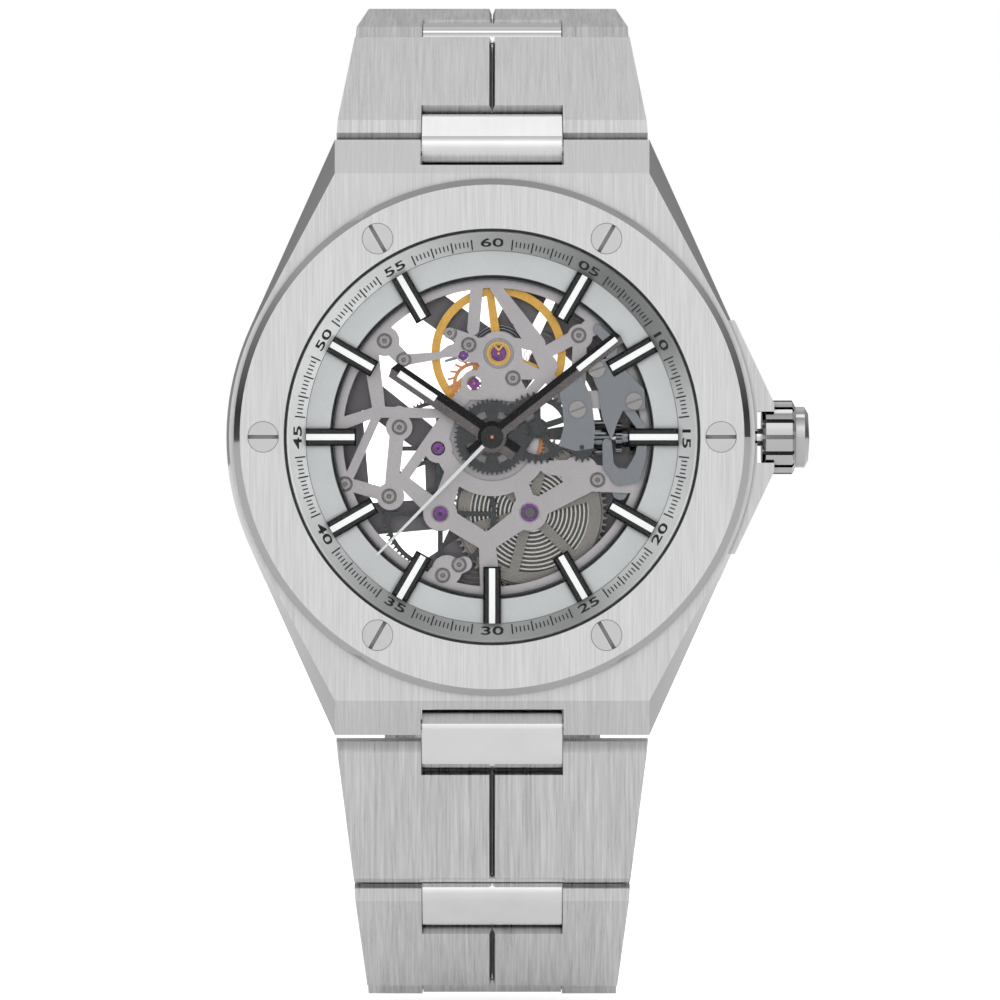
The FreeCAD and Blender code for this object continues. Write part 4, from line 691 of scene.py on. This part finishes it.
def dial_rings():
    """Dark step between the movement and the dial, and the black seal round the crystal."""
    step = [(12.55, 6.32), (12.88, 6.32), (12.88, 6.98), (12.8, 6.98), (12.7, 6.75), (12.55, 6.75)]
    turned("dial_step_ring", step, DARK_STEEL, "case")
    seal = [(16.4, 9.4), (16.52, 9.4), (16.52, 9.61), (16.4, 9.61)]
    turned("crystal_seal", seal, RUBBER, "case")


dial_rings()
minute_ticks()
minute_numerals()
marker_lume()
hand_lume("hour_hand_lume", "hour_body", 5.4, 9.0, 0.265, 7.5, 7.64, HOUR_ANGLE)
hand_lume("minute_hand_lume", "minute_body", 8.65, 12.6, 0.215, 7.8, 7.92, MINUTE_ANGLE)


# ---------------------------------------------------------------- stage, light and camera
def make_floor():
    """Large plain floor just below the watch."""
    z = cad_box[0][2] - FLOOR_GAP
    corners = [(-FLOOR_HALF, -FLOOR_HALF, z), (FLOOR_HALF, -FLOOR_HALF, z),
               (FLOOR_HALF, FLOOR_HALF, z), (-FLOOR_HALF, FLOOR_HALF, z)]
    mesh = from_faces("floor", corners, [(0, 1, 2, 3)])
    floor = bpy.data.objects.new("floor", mesh)
    bpy.context.scene.collection.objects.link(floor)
    floor.data.materials.append(floor_paint("floor_paint"))


def area_light(name, position, target, width, height, power, visible=False):
    data = bpy.data.lights.new(name, "AREA")
    data.shape = "RECTANGLE"
    data.size = width
    data.size_y = height
    data.energy = power
    lamp = bpy.data.objects.new(name, data)
    bpy.context.scene.collection.objects.link(lamp)
    lamp.location = position
    direction = Vector(target) - Vector(position)
    lamp.rotation_euler = direction.to_track_quat("-Z", "Z").to_euler()
    lamp.visible_camera = visible
    return lamp


def light_scene():
    """Two softboxes, and a round lamp behind the case back window so that the openings show white."""
    area_light("key_softbox", (-0.55, -0.7, 0.85), (0, 0, 0), 0.6, 0.5, 0.9)
    area_light("right_softbox", (0.9, -0.45, 0.2), (0, 0, 0), 0.25, 0.9, 0.3)
    backlight = area_light("see_through_light", (0, 0.0006, 0), (0, -1, 0), 0.0256, 0.0256, 0.0022, True)
    backlight.data.shape = "DISK"


def make_world():
    """Studio surround: white where the camera looks, softer and darker to the sides for the reflections."""
    world = bpy.data.worlds.new("studio")
    bpy.context.scene.world = world
    world.use_nodes = True
    tree = world.node_tree
    background = next(node for node in tree.nodes if node.type == "BACKGROUND")
    coordinates = add(tree, "ShaderNodeTexCoord")
    split = add(tree, "ShaderNodeSeparateXYZ")
    link(tree, coordinates.outputs["Generated"], split.inputs[0])
    above = ramp(tree, remap(tree, split.outputs["Z"], -1, 1, 0, 1),
                 [(0.0, 0.5), (0.3, 0.3), (0.42, 0.12), (0.55, 0.0), (0.72, 0.3), (0.82, 0.55), (0.93, 0.5),
                  (0.992, 0.42), (0.9965, 1.4), (1.0, 1.4)])
    front = ramp(tree, remap(tree, split.outputs["Y"], 1, -1, 0, 1),
                 [(0.0, 0.25), (0.3, 0.08), (0.48, 0.03), (0.62, 0.06), (0.8, 0.3), (0.92, 0.8), (1.0, 0.88)])
    together = add(tree, "ShaderNodeMix", data_type="RGBA", blend_type="ADD")
    together.inputs[0].default_value = 1.0
    link(tree, above, together.inputs[6])
    link(tree, front, together.inputs[7])
    rays = add(tree, "ShaderNodeLightPath")
    seen = mix_colour(tree, rays.outputs["Is Camera Ray"], together.outputs[2], (1.0, 1.0, 1.0))
    link(tree, seen, background.inputs["Color"])
    background.inputs["Strength"].default_value = 1.0


def make_camera():
    """Looks straight at the dial from in front."""
    data = bpy.data.cameras.new("camera")
    camera = bpy.data.objects.new("camera", data)
    bpy.context.scene.collection.objects.link(camera)
    camera.location = (VIEW_CENTRE[0] * MM, -DIAL_LEVEL * MM - CAMERA_DISTANCE, VIEW_CENTRE[1] * MM)
    camera.rotation_euler = (math.radians(90), 0, 0)
    data.sensor_width = 36.0
    data.lens = 36.0 * CAMERA_DISTANCE / (VIEW_HEIGHT * MM)
    data.clip_start = 0.05
    data.clip_end = 20.0
    bpy.context.scene.camera = camera


make_floor()
light_scene()
make_world()
make_camera()
bpy.context.scene.view_settings.view_transform = "Standard"
